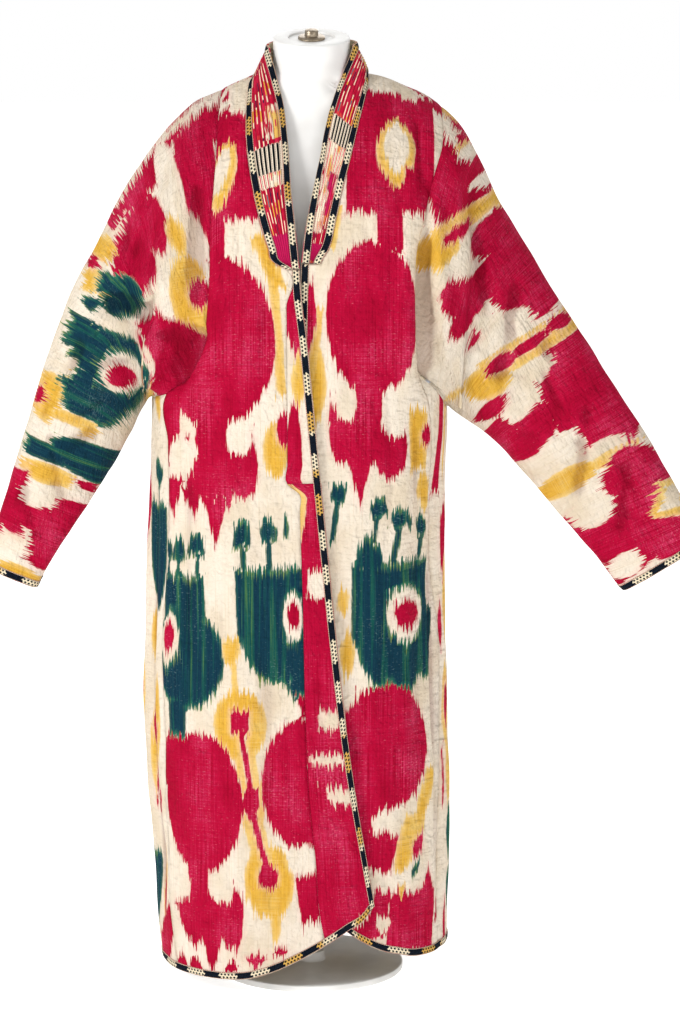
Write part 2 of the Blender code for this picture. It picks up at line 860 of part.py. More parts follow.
def strip_solid(name, edge, inside, normals_inside, closed, from_edge, lift=BRAID_LIFT):
    """Braid along a run of edge points, laid on the cloth between them and the points inside."""
    side = inside - edge
    length = np.linalg.norm(side, axis=1, keepdims=True)
    side /= length
    near = edge + side * 0.6
    far = edge + side * np.minimum(BRAID_WIDE, length - 0.4)
    run = np.roll(edge, -1, 0) - np.roll(edge, 1, 0)
    if not closed:
        run[0], run[-1] = edge[1] - edge[0], edge[-1] - edge[-2]
    up = np.cross(run, side)
    up *= np.sign((up * normals_inside).sum(1, keepdims=True))
    up /= np.linalg.norm(up, axis=1, keepdims=True)
    low, high = lift, lift + BRAID_THICK
    rings = np.stack([near + up * low, near + up * high, far + up * high, far + up * low], 1)
    count = len(rings)
    points = rings.reshape(-1, 3)
    faces = []
    for i in range(count if closed else count - 1):
        j = (i + 1) % count
        for k in range(4):
            m = (k + 1) % 4
            a, b, c, d = i * 4 + k, i * 4 + m, j * 4 + m, j * 4 + k
            if (k == 3) == from_edge:
                faces += [[a, b, d], [b, c, d]]
            else:
                faces += [[a, b, c], [a, c, d]]
    if not closed:
        last = (count - 1) * 4
        faces += [[3, 2, 1], [3, 1, 0], [last, last + 1, last + 2], [last, last + 2, last + 3]]
    corners = points[np.array(faces)]
    if (corners[:, 0] * np.cross(corners[:, 1], corners[:, 2])).sum() < 0:
        faces = [face[::-1] for face in faces]
    return make_object(name, points, faces)


def ring_solid(name, rings, closed_ends=True):
    """A solid through rings of the same number of points, from low to high."""
    count = len(rings[0])
    points = np.concatenate(rings)
    faces = []
    for i in range(len(rings) - 1):
        for k in range(count):
            m = (k + 1) % count
            a, b = i * count + k, i * count + m
            faces.append([a, b, b + count, a + count])
    low = len(points)
    points = np.concatenate([points, rings[0].mean(0)[None], rings[-1].mean(0)[None]])
    top = (len(rings) - 1) * count
    for k in range(count):
        m = (k + 1) % count
        faces.append([k, low, m])
        faces.append([top + k, top + m, low + 1])
    return make_object(name, points, faces)


def circle(centre, radius, z, count, slope=0.0):
    turn = np.arange(count) / count * 2 * np.pi
    x = centre[0] + radius * np.cos(turn)
    y = centre[1] + radius * np.sin(turn)
    return np.stack([x, y, z + slope * (y - centre[1])], -1)


def form_rings():
    turn = np.arange(FORM_ROUND) / FORM_ROUND * 2 * np.pi
    cosine, sine = np.cos(turn), np.sin(turn)
    rings = []
    for z, left, right, front, back, power in zip(*FORM.values()):
        half = (right - left) / 2
        depth = np.where(sine < 0, -front, back)
        x = (left + right) / 2 + half * np.sign(cosine) * np.abs(cosine) ** (2 / power)
        y = depth * np.sign(sine) * np.abs(sine) ** (2 / power)
        rings.append(np.stack([x, y, z + 0 * x], -1))
    rim = NECK_TOP
    rings.append(circle(NECK_CENTRE, NECK_RADIUS, rim - 3, FORM_ROUND, NECK_SLOPE))
    rings.append(circle(NECK_CENTRE, NECK_RADIUS - 3, rim, FORM_ROUND, NECK_SLOPE))
    rings.append(circle(NECK_CENTRE, NECK_RECESS + 1, rim, FORM_ROUND, NECK_SLOPE))
    rings.append(circle(NECK_CENTRE, NECK_RECESS, rim - 3, FORM_ROUND, NECK_SLOPE))
    return rings


def fitted(points, cells, lining):
    """The form's points drawn in until the cloth rests on them, a hair clear of its inner face."""
    corners = []
    faces = []
    for inner, triangles in lining:
        faces += [[v + len(corners) for v in t] for t in triangles]
        corners += [Vector(p) for p in inner]
    tree = BVHTree.FromPolygons(corners, faces)
    points = [Vector(p) for p in points]
    spots = {((k, 1.0),) for k in range(len(points))}
    for cell in cells:
        for share in (0.2, 0.4, 0.6, 0.8):
            spots |= {((a, share), (b, 1 - share)) for a in cell for b in cell if a < b}
    spots = sorted(spots)
    for _ in range(16):
        push = {}
        for spot in spots:
            at = sum((points[k] * share for k, share in spot), Vector())
            near, normal, _, _ = tree.find_nearest(at)
            depth = (at - near).dot(normal)
            short = REST_GAP - depth
            beside = abs(depth) < 0.6 * (at - near).length
            if short <= 0.02 or beside or (at - near).length > 20:
                continue
            for k, _ in spot:
                if k not in push or push[k].length < short:
                    push[k] = normal * short
        for k, by in push.items():
            points[k] += by
    return np.array(points)


def build_form(lining):
    rings = form_rings()
    count = len(rings[0])
    cells = []
    for i in range(len(rings) - 1):
        for k in range(count):
            a, b = i * count + k, i * count + (k + 1) % count
            cells.append((a, b, b + count, a + count))
    points = fitted(np.concatenate(rings), cells, lining)
    ring_solid("form_body", points.reshape(len(rings), count, 3))
    tilt = NECK_SLOPE
    low = NECK_TOP - 3 + 0.4
    cap = [
        circle(NECK_CENTRE, 19, low, 20, tilt),
        circle(NECK_CENTRE, 19, low + 3, 20, tilt),
        circle(NECK_CENTRE, 17.5, low + 4, 20, tilt),
        circle(NECK_CENTRE, 9.5, low + 4.4, 20, tilt),
        circle(NECK_CENTRE, 9.5, low + 11, 20, tilt),
        circle(NECK_CENTRE, 8, low + 12.5, 20, tilt),
    ]
    ring_solid("form_cap", cap)
    pole = [
        circle((0, 0), POLE_RADIUS, BASE_THICK + 14.6, 20),
        circle((0, 0), POLE_RADIUS, 699.6, 20),
    ]
    ring_solid("form_pole", pole)
    base = [
        circle((0, 0), BASE_RADIUS, 0, 40),
        circle((0, 0), BASE_RADIUS, BASE_THICK - 2, 40),
        circle((0, 0), BASE_RADIUS - 4, BASE_THICK, 40),
        circle((0, 0), 24, BASE_THICK + 0.5, 40),
        circle((0, 0), 20, BASE_THICK + 14.3, 40),
    ]
    ring_solid("form_base", base)


def braid_runs(index):
    """Every braid as (name, edge corners, inside corners, closed, whether cells split from the edge)."""
    left, strip_l, strip_r = index["front_left"], index["strip_left"], index["strip_right"]
    right, collar_i = index["front_right"], index["collar"]
    gore_l, gore_r = index["gore_left"], index["gore_right"]
    back_l, back_r = index["back_left"], index["back_right"]
    hem_left = [back_l[:2, ::1], gore_l[:2], left[:2], strip_l[:2]]
    hem_right = [strip_r[:2], right[:2], gore_r[:2], back_r[:2]]
    runs = [
        ("trim_edge_left", strip_l[:, -1], strip_l[:, -2], False, False),
        ("trim_edge_right", strip_r[:, 0], strip_r[:, 1], False, True),
        ("trim_collar_inner", collar_i[:, -1], collar_i[:, -2], False, False),
        ("trim_collar_outer", collar_i[:, 0], collar_i[:, 1], False, True),
    ]
    for name, parts in (("trim_hem_left", hem_left), ("trim_hem_right", hem_right)):
        low = np.concatenate([parts[0][0]] + [p[0][1:] for p in parts[1:]])
        high = np.concatenate([parts[0][1]] + [p[1][1:] for p in parts[1:]])
        runs.append((name, low, high, False, True))
    for side in ("left", "right"):
        cuff = index["sleeve_" + side]
        runs.append(("trim_cuff_" + side, cuff[-1][:-1], cuff[-2][:-1], True, False))
    return runs


def build_robe():
    cloth = Cloth()
    left, right = front_left(), front_right()
    back_l, back_r = back_panel(-1), back_panel(1)
    index = {}
    index["front_left"] = cloth.add(left, "front_left")
    index["front_right"] = cloth.add(right, "front_right")
    index["strip_left"] = cloth.add(
        front_strip(-1), lambda i, j: "inset_lower" if i < WAIST_ROW else "inset_upper"
    )
    index["strip_right"] = cloth.add(front_strip(1), "front_right")
    index["back_left"] = cloth.add(back_l, "back_left")
    index["back_right"] = cloth.add(back_r, "back_right")
    middle = COLUMNS_GORE // 2
    index["gore_left"] = cloth.add(
        gore(-1), lambda i, j: "gore_left_back" if j < middle else "gore_left_front"
    )
    index["gore_right"] = cloth.add(
        gore(1), lambda i, j: "gore_right_front" if j < middle else "gore_right_back"
    )
    index["sleeve_left"] = cloth.add(sleeve(-1), "sleeve_left")
    index["sleeve_right"] = cloth.add(sleeve(1), "sleeve_right")
    grid = collar(left, back_l, back_r, right)
    index["collar"] = cloth.add(grid, "collar")
    cloth.finish()
    normals, _ = cloth.normals()
    cloth.points = cloth.points + normals * fold_field(cloth.points, normals)[:, None]
    normals, reach = cloth.normals()
    raised = np.zeros(len(cloth.points))
    raised[index["collar"][:, 2:-2:2]] = RIB_HIGH
    lining = [panel_solid(name, cloth, normals, reach, raised) for name in cloth.cells]
    for name, edge, inside, closed, from_edge in braid_runs(index):
        points_e, points_i, n_i = cloth.points[edge], cloth.points[inside], normals[inside]
        if name in ("trim_hem_left", "trim_hem_right"):
            end = -1 if name == "trim_hem_left" else 0
            near = -2 if name == "trim_hem_left" else 1
            gap = np.linalg.norm(points_e[near] - points_e[end])
            t = (BRAID_WIDE + 1.2) / gap
            points_e[end] = points_e[end] * (1 - t) + points_e[near] * t
            points_i[end] = points_i[end] * (1 - t) + points_i[near] * t
            back = 0 if name == "trim_hem_left" else -1
            step = 1 if name == "trim_hem_left" else -2
            run = points_e[step] - points_e[back]
            shift = run / np.linalg.norm(run) * SEAM / 2
            points_e[back] += shift
            points_i[back] += shift
        lift = BRAID_LIFT * (3.4 if name == "trim_collar_inner" else 1)
        strip_solid(name, points_e, points_i, n_i, closed, from_edge, lift)
    return lining


for old in list(bpy.data.objects):
    bpy.data.objects.remove(old)
build_form(build_robe())
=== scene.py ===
"""Looks of an ikat chapan robe on a limbless dress form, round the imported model.

Sizes are in millimetres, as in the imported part: x to the right, y to the back, z up from the floor. Left and
right are as seen from the front. Each panel is a fine grid of points from the tables below; its cloth has
coordinates of its own, in mm along and across the warp, which the dyed pattern is laid out in.
"""

import json
import math

import bpy
import numpy as np
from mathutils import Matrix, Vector
from mathutils.bvhtree import BVHTree

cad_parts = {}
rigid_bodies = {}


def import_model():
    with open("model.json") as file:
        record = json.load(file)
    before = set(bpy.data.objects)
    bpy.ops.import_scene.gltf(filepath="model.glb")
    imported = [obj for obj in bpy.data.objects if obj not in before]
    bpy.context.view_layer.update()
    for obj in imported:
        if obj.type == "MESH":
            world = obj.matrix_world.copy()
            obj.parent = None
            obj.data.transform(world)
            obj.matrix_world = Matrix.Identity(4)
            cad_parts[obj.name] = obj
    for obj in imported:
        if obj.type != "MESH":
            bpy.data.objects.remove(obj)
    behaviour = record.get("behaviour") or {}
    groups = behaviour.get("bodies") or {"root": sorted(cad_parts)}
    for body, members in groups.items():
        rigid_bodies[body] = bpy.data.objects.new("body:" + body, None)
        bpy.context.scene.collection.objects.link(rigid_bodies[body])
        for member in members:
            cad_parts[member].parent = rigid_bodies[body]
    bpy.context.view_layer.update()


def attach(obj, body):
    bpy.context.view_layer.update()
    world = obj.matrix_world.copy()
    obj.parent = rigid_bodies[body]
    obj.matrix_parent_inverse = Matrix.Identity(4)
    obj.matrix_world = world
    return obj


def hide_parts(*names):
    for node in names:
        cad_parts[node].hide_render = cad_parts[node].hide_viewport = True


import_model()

DOWN = 9
ACROSS = 5
RIB_CELLS = 8
CLOTH_THICK = 2.2
SEAM_DIP = 1.1
SEAM_WIDE = 3.5
SEAM_GAP = 0.12
BRAID_HIGH = 1.5


BRAID_WIDE = 11.0
RIB_HIGH = 1.3
SHOULDER_DROP = 220.0
SHOULDER_POWER = 2.2
LAYER_GAP = 7.5


def table(names, *rows):
    """A table as a dictionary from column name to an array."""
    return {name: np.array(column, float) for name, column in zip(names.split(), zip(*rows))}


def smooth(keys, values, at):
    """A soft curve through the values, flat past both ends. Values may be points."""
    keys = np.asarray(keys, float)
    values = np.asarray(values, float)
    slopes = np.gradient(values, keys, axis=0)
    at = np.clip(np.asarray(at, float), keys[0], keys[-1])
    i = np.clip(np.searchsorted(keys, at) - 1, 0, len(keys) - 2)
    h = keys[i + 1] - keys[i]
    t = (at - keys[i]) / h
    extra = values.ndim - 1
    h = h.reshape(h.shape + (1,) * extra)
    t = t.reshape(t.shape + (1,) * extra)
    low = values[i] * (1 + 2 * t) * (1 - t) ** 2 + h * slopes[i] * t * (1 - t) ** 2
    high = values[i + 1] * t**2 * (3 - 2 * t) + h * slopes[i + 1] * t**2 * (t - 1)
    return low + high


def look(tab, column, at):
    """One column of a table, read along its first column."""
    first = next(iter(tab))
    return smooth(tab[first], tab[column], at)


def ease(t):
    t = np.clip(t, 0, 1)
    return t * t * (3 - 2 * t)


# The robe's outline at each height: sides, front and back, and how square the ring is.
BODY = table(
    "z left right front back power",
    (20, -215, 199, -158, 150, 2.5),
    (60, -219, 199, -158, 150, 2.5),
    (174, -222, 198, -157, 149, 2.5),
    (300, -232, 197, -156, 148, 2.5),
    (397, -236, 194, -154, 147, 2.5),
    (515, -233, 191, -152, 145, 2.5),
    (620, -230, 190, -150, 142, 2.5),
    (719, -228, 192, -149, 140, 2.5),
    (790, -227, 196, -148, 138, 2.5),
    (842, -226, 198, -148, 136, 2.5),
    (950, -232, 215, -147, 132, 2.6),
    (1050, -236, 234, -145, 128, 2.7),
    (1170, -238, 245, -138, 124, 2.8),
    (1320, -238, 248, -128, 118, 2.8),
)

# The line of the shoulders from side to side.
CREST = table(
    "x z",
    (-226, 1189),
    (-197, 1225),
    (-176, 1247),
    (-155, 1262),
    (-124, 1274),
    (-98, 1287),
    (-72, 1299),
    (-40, 1312),
    (0, 1318),
    (45, 1312),
    (82, 1297),
    (106, 1291),
    (128, 1283),
    (156, 1271),
    (186, 1251),
    (212, 1225),
    (238, 1183),
)

# Seams of the two fronts by height: the side seam and armhole, and the inner seam under collar and inset.
LEFT_OUTER = table(
    "z x",
    (20, -193),
    (132, -203),
    (278, -206),
    (400, -207),
    (509, -209),
    (600, -203),
    (700, -198),
    (787, -199),
    (853, -201),
    (884, -172),
    (925, -150),
    (993, -140),
    (1055, -137),
    (1106, -134),
    (1193, -128),
    (1274, -124),
)
RIGHT_OUTER = table(
    "z x",
    (20, 186),
    (340, 188),
    (423, 186),
    (509, 184),
    (577, 179),
    (700, 175),
    (787, 174),
    (850, 167),
    (890, 160),
    (929, 156),
    (1025, 152),
    (1106, 162),
    (1167, 176),
    (1200, 186),
    (1251, 186),
)
LEFT_INNER = table(
    "z x",
    (20, 42),
    (94, 19),
    (210, 7.6),
    (283, 0),
    (427, -6),
    (570, -9),
    (700, -12.4),
    (719, -12.6),
    (734, -30),
    (760, -30),
    (980, -31),
    (1032, -32),
    (1042, -49),
    (1060, -56),
    (1100, -68),
    (1145, -78),
    (1190, -85),
    (1230, -87.5),
    (1262, -86.5),
    (1285, -82),
    (1299, -72),
)
RIGHT_INNER = table(
    "z x",
    (20, 62),
    (283, 50),
    (600, 36),
    (900, 22),
    (1032, 16),
    (1042, 18),
    (1060, 28),
    (1100, 38),
    (1145, 48),
    (1190, 59.5),
    (1230, 69),
    (1262, 77),
    (1283, 81.5),
    (1297, 82),
)
# The open edges of the fronts. The left one lies over the right one.
LEFT_EDGE = table(
    "z x",
    (20, 98),
    (130, 92),
    (167, 86),
    (210, 79),
    (283, 66.5),
    (398, 51),
    (513, 38.5),
    (626, 27.5),
    (739, 16.5),
    (851, 5.5),
    (948, -4),
    (989, -9.5),
    (1042, -13),
)
RIGHT_EDGE = table(
    "z x",
    (20, 8),
    (140, 4),
    (400, -6),
    (700, -12),
    (948, -13),
    (1042, -10.5),
)
# The hem's height across the fronts.
LEFT_HEM = table(
    "x z",
    (-225, 23),
    (-150, 22),
    (-113, 22),
    (-85, 26),
    (-56, 35),
    (-28, 47),
    (0, 62),
    (29, 79),
    (53, 95),
    (80, 114),
    (92, 132),
)
RIGHT_HEM = table(
    "x z",
    (4, 150),
    (20, 122),
    (40, 103),
    (57, 89),
    (86, 70),
    (107, 60),
    (128, 55),
    (147, 50),
    (166, 48),
    (200, 49),
)
BACK_HEM = table("x z", (-225, 23), (-100, 27), (80, 38), (200, 49))

# Heights along each panel's inner seam at which its rows lie.
LOW_ROWS = (0, 0.055, 0.15, 0.24, 0.33, 0.42, 0.51, 0.60, 0.69, 0.76, 0.828, 0.847, 0.92, 1)
HIGH_ROWS = (0, 0.172, 0.33, 0.401, 0.424, 0.464, 0.554, 0.655, 0.756, 0.845, 0.917, 0.969, 1)
WAIST_ROW = 11
COLLAR_ROW = len(LOW_ROWS) - 1 + 3
UNDERARM = 853.0
UNDERARM_RIGHT = 890.0
NECK_POINT = 1299.0
NECK_LOW = 1289.0
COLUMNS_LEFT = 9
COLUMNS_RIGHT = 8
COLUMNS_NECK = 4
COLUMNS_INSET = 3
COLUMNS_GORE = 6

# The collar's free edge on each side, by height: how far across and how far forward.
COLLAR_LEFT = table(
    "z x y",
    (1034, -12.5, -150),
    (1096, -19, -139),
    (1151, -25, -121),
    (1206, -29, -97),
    (1261, -36.5, -67),
    (1296, -46, -43),
    (1333, -56.5, -18),
)
COLLAR_RIGHT = table(
    "z x y",
    (1036, -10.5, -150),
    (1096, -3, -139),
    (1137, 5.5, -127),
    (1179, 14, -110),
    (1220, 22, -90),
    (1261, 33, -67),
    (1289, 43, -47),
    (1316, 54, -28),
    (1338, 62, -16),
)
# The same edge round the back of the neck, from the left neck point to the right one.
COLLAR_BACK = table(
    "step x y z",
    (0, -56.5, -18, 1333),
    (1, -60, 10, 1338),
    (2, -52, 38, 1342),
    (3, -29, 57, 1344),
    (4, 3, 64, 1345),
    (5, 35, 57, 1345),
    (6, 58, 38, 1344),
    (7, 66.5, 10, 1341),
    (8, 62, -16, 1338),
)
COLLAR_RIBS = 6

# Rings of each sleeve after the armhole: the top and low point, and the half depth to front and back.
SLEEVE_LEFT = table(
    "step top_x top_z low_x low_z front back",
    (0.45, -160, 1259, -231, 836, 124, 118),
    (1, -197, 1225, -235, 829, 112, 106),
    (1.6, -225, 1190, -240, 821, 102, 96),
    (2.4, -254, 1148, -246, 810, 93, 87),
    (3.4, -280, 1102, -253, 796, 86, 80),
    (4.4, -304, 1056, -263, 779, 80, 75),
    (6, -344, 978, -283, 738, 72, 68),
    (7.6, -378, 885, -311, 692, 66, 62),
    (8.9, -403, 806, -337, 652, 60, 57),
    (10.2, -430, 719, -362, 613, 55, 52),
    (11.2, -448, 660, -376, 590, 51, 48),
    (12.2, -467, 600, -389, 568, 48, 45),
)
SLEEVE_RIGHT = table(
    "step top_x top_z low_x low_z front back",
    (0.5, 212, 1225, 204, 820, 104, 104),
    (1.2, 238, 1183, 213, 813, 90, 92),
    (2.2, 269, 1119, 230, 802, 78, 80),
    (3.4, 305, 1059, 261, 780, 69, 70),
    (4.6, 341, 1000, 294, 744, 62, 63),
    (6, 385, 933, 334, 699, 56, 57),
    (7.4, 428, 866, 373, 655, 51, 52),
    (8.8, 473, 799, 405, 618, 47, 48),
    (10.3, 523, 719, 432, 584, 43, 43),
    (11.2, 550, 679, 442, 571, 41, 41),
    (12, 575, 639, 452, 562, 40, 40),
)
SLEEVE_POWER = 2.2

# Large folds: a line on one face, how far it stands out (minus is a trough) and how wide it is.
FOLDS = table(
    "face x0 z0 x1 z1 out wide",
    (-1, 158, 1080, 166, 860, -17, 13),
    (-1, 136, 1100, 140, 860, 6, 14),
    (-1, 178, 1120, 190, 900, 8, 14),
    (-1, 150, 840, 158, 330, -6, 11),
    (-1, 128, 800, 132, 260, 4, 16),
    (-1, 150, 1240, 160, 1120, -6, 9),
    (-1, 200, 1190, 214, 1000, 5, 13),
    (-1, 224, 1150, 250, 960, -5, 11),
    (-1, 262, 1060, 270, 900, 4, 14),
    (-1, 290, 1010, 262, 850, -6, 12),
    (-1, 230, 905, 300, 800, 6, 16),
    (-1, 330, 930, 350, 800, -4, 12),
    (-1, 392, 840, 380, 700, -5, 12),
    (-1, 452, 760, 440, 640, -4, 12),
    (-1, -150, 950, -190, 862, -15, 14),
    (-1, -206, 935, -222, 858, 15, 17),
    (-1, -212, 962, -296, 990, -13, 13),
    (-1, -170, 1000, -282, 1034, 7, 17),
    (-1, -150, 1150, -156, 1010, -5, 12),
    (-1, -200, 1150, -210, 1040, 4, 14),
    (-1, -262, 880, -330, 850, 6, 18),
    (-1, -320, 930, -344, 860, -6, 12),
    (-1, -300, 800, -352, 770, -5, 14),
    (-1, -372, 800, -352, 690, -5, 12),
    (-1, -410, 720, -388, 640, -4, 12),
    (-1, -170, 780, -176, 300, -5, 14),
    (-1, -100, 700, -104, 200, 3, 20),
    (-1, -60, 480, -64, 120, -3, 18),
    (-1, 90, 620, 96, 150, 3, 18),
    (1, -150, 1060, -190, 862, -14, 14),
    (1, -212, 950, -300, 980, -11, 14),
    (1, -170, 1000, -262, 1030, 6, 17),
    (1, 158, 1080, 166, 880, -14, 14),
    (1, 240, 1120, 262, 940, -5, 13),
    (1, 300, 980, 276, 860, -6, 13),
    (1, -330, 920, -344, 850, -5, 13),
    (1, -120, 980, -134, 240, -7, 17),
    (1, -70, 1080, -78, 160, 5, 21),
    (1, 66, 1090, 74, 180, -6, 18),
    (1, 118, 960, 130, 220, 6, 18),
    (1, 10, 860, 4, 140, 4, 20),
)
# Upright folds of the two side gores: how far back they lie, and their top and low ends.
SIDE_FOLDS = table(
    "side y0 y1 low high out wide",
    (-1, -62, -58, 60, 800, -7, 13),
    (-1, -20, -26, 90, 760, 5, 15),
    (-1, 24, 30, 40, 800, -6, 14),
    (-1, 78, 74, 120, 760, -7, 14),
    (1, -70, -74, 70, 810, -8, 12),
    (1, -36, -40, 120, 790, 6, 14),
    (1, 4, -4, 60, 780, -8, 14),
    (1, 52, 44, 90, 790, 5, 15),
    (1, 92, 84, 150, 740, -7, 13),
)

# The dress form's trunk, which the shoulders rest on.
FORM = table(
    "z left right front back power",
    (700, -120, 130, -88, 92, 2.2),
    (712, -142, 152, -104, 106, 2.2),
    (780, -152, 162, -110, 112, 2.2),
    (860, -142, 153, -103, 104, 2.2),
    (930, -137, 148, -100, 98, 2.2),
    (1010, -150, 161, -106, 97, 2.3),
    (1090, -164, 176, -104, 98, 2.3),
    (1140, -176, 187, -96, 96, 2.3),
    (1175, -184, 195, -88, 92, 2.3),
    (1200, -186, 198, -80, 87, 2.3),
    (1221, -185, 199, -73, 82, 2.3),
    (1236, -179, 193, -68, 77, 2.3),
    (1249, -167, 182, -65, 74, 2.3),
    (1260, -150, 168, -62, 71, 2.2),
    (1270, -128, 149, -57, 62, 2.2),
    (1279, -104, 120, -55, 55, 2.1),
    (1287, -80, 84, -53, 54, 2.0),
    (1294, -62, 70, -52.5, 55.5, 2.0),
    (1301, -54, 61, -52.5, 55.5, 2.0),
    (1311, -51.5, 57.5, -52.5, 55.5, 2.0),
    (1324, -51, 57, -52.5, 55.5, 2.0),
)
NECK_CENTRE = (3.0, 1.5)
NECK_RADIUS = 54.0
NECK_TOP = 1348.0
NECK_SLOPE = 0.24
NECK_RECESS = 33.0


def cloth_y(x, z, face):
    """How far forward or back the robe's body lies at x and z. Face is -1 in front and 1 behind."""
    left = look(BODY, "left", z)
    right = look(BODY, "right", z)
    power = look(BODY, "power", z)
    across = np.clip(np.abs(2 * x - left - right) / (right - left), 0, 1)
    ring = (1 - across**power) ** (1 / power)
    below = np.clip((look(CREST, "z", x) - z) / SHOULDER_DROP, 0, 1)
    arch = (1 - (1 - below) ** SHOULDER_POWER) ** (1 / SHOULDER_POWER)
    return look(BODY, "front" if face < 0 else "back", z) * ring * arch


def side_point(side, turn, z):
    """A point on the ring at height z: turn 0 is its side, -1 the front and 1 the back, both at a quarter."""
    left = look(BODY, "left", z)
    right = look(BODY, "right", z)
    power = look(BODY, "power", z)
    angle = np.abs(turn) * np.pi / 2
    half = (right - left) / 2
    x = (left + right) / 2 + side * half * np.cos(angle) ** (2 / power)
    depth = np.where(turn < 0, look(BODY, "front", z), look(BODY, "back", z))
    return np.stack([x, depth * np.sin(angle) ** (2 / power), z], -1)


def side_turn(side, x, z):
    """The turn at which the ring at height z has this x."""
    left = look(BODY, "left", z)
    right = look(BODY, "right", z)
    power = look(BODY, "power", z)
    across = np.clip(side * (2 * x - left - right) / (right - left), 0, 1)
    return np.arccos(across ** (power / 2)) * 2 / np.pi


def finer(values, times):
    """The same run of values with each step cut into this many."""
    steps = np.arange((len(values) - 1) * times + 1) / times
    return np.interp(steps, np.arange(len(values)), values)


def lower_grid(outer, inner, hem, under, rows, across):
    """A body panel, hem to underarm. Outer and inner give x by height; under gives the top's z."""
    f = np.asarray(rows, float)[:, None]
    u = np.asarray(across, float)[None, :]
    z = 400 + 0 * f * u
    for _ in range(6):
        x = outer(z) * (1 - u) + inner(z) * u
        low = look(hem, "z", x[:1])
        z = low * (1 - f) + under(u) * f
    x = outer(z) * (1 - u) + inner(z) * u
    return x, z


def upper_grid(outer, inner, under, outer_top, inner_top, rows, across, top_line):
    """A body panel from underarm to shoulder, by x and z."""
    f = np.asarray(rows, float)[:, None]
    u = np.asarray(across, float)[None, :]
    z_outer = under(0 * f) * (1 - f) + outer_top * f
    z_inner = under(0 * f + 1) * (1 - f) + inner_top * f
    x = outer(z_outer) * (1 - u) + inner(z_inner) * u
    straight = z_outer * (1 - u) + z_inner * u
    top = top_line(x[-1:]) - straight[-1:]
    bend = (under(u) - straight[:1]) * (1 - f) ** 2
    return x, straight + top * f**4 + bend


def along(tab):
    return lambda z: look(tab, "x", z)


def left_under(u):
    return UNDERARM + 0 * u


def right_under(u):
    return UNDERARM_RIGHT + (UNDERARM + 14 - UNDERARM_RIGHT) * ease(u)


def to_points(x, z, face):
    return np.stack([x, cloth_y(x, z, face), z], -1)


def crest_z(x):
    return look(CREST, "z", x)


def push_under(points):
    """The right front lies behind the left one where they overlap."""
    edge = look(LEFT_EDGE, "x", points[..., 2])
    reach = ease((edge + 50 - points[..., 0]) / 45)
    start = ease((1046 - points[..., 2]) / 50)
    points[..., 1] += LAYER_GAP * reach * start
    return points


def fractions(count, times):
    return np.linspace(0, 1, count * times + 1)


def front_left():
    outer = along(LEFT_OUTER)
    inner = along(LEFT_INNER)
    u = fractions(COLUMNS_LEFT, ACROSS)
    low = lower_grid(outer, inner, LEFT_HEM, left_under, finer(LOW_ROWS, DOWN), u)
    high = upper_grid(
        outer, inner, left_under, 1274, NECK_POINT, finer(HIGH_ROWS, DOWN), u, crest_z
    )
    x = np.concatenate([low[0], high[0][1:]])
    z = np.concatenate([low[1], high[1][1:]])
    return to_points(x, z, -1)


def front_right():
    """From the collar's line to the side, so that its columns run the same way round as the left's."""
    outer = along(RIGHT_OUTER)
    inner = along(RIGHT_INNER)
    u = fractions(COLUMNS_RIGHT, ACROSS)
    low = lower_grid(outer, inner, RIGHT_HEM, right_under, finer(LOW_ROWS, DOWN), u)
    high = upper_grid(
        outer, inner, right_under, 1251, NECK_POINT - 2, finer(HIGH_ROWS, DOWN), u, crest_z
    )
    x = np.concatenate([low[0], high[0][1:]])[:, ::-1]
    z = np.concatenate([low[1], high[1][1:]])[:, ::-1]
    return push_under(to_points(x, z, -1))


def front_strip(side):
    """The strip between a front's inner seam and its open edge, up to the collar."""
    seam, edge, hem = {
        -1: (LEFT_INNER, LEFT_EDGE, LEFT_HEM),
        1: (RIGHT_INNER, RIGHT_EDGE, RIGHT_HEM),
    }[side]
    u = fractions(COLUMNS_INSET, ACROSS)
    rows = np.concatenate([finer(LOW_ROWS, DOWN), 1 + finer(HIGH_ROWS[:4], DOWN)[1:]])
    panel = front_left() if side < 0 else front_right()[:, ::-1]
    start = panel[: len(rows), -1]
    f = np.clip(rows, 0, 1)
    z = start[:, 2:3] + 0 * u[None, :]
    for _ in range(6):
        x = look(seam, "x", start[:, 2:3]) * (1 - u) + look(edge, "x", z) * u
        low = look(hem, "z", x[0]) - start[0, 2]
        z = start[:, 2:3] + low[None, :] * (1 - f[:, None]) ** 2
    x = start[:, :1] * (1 - u) + look(edge, "x", z) * u
    points = to_points(x, z, -1)
    if side > 0:
        points = push_under(points)[:, ::-1]
    return points


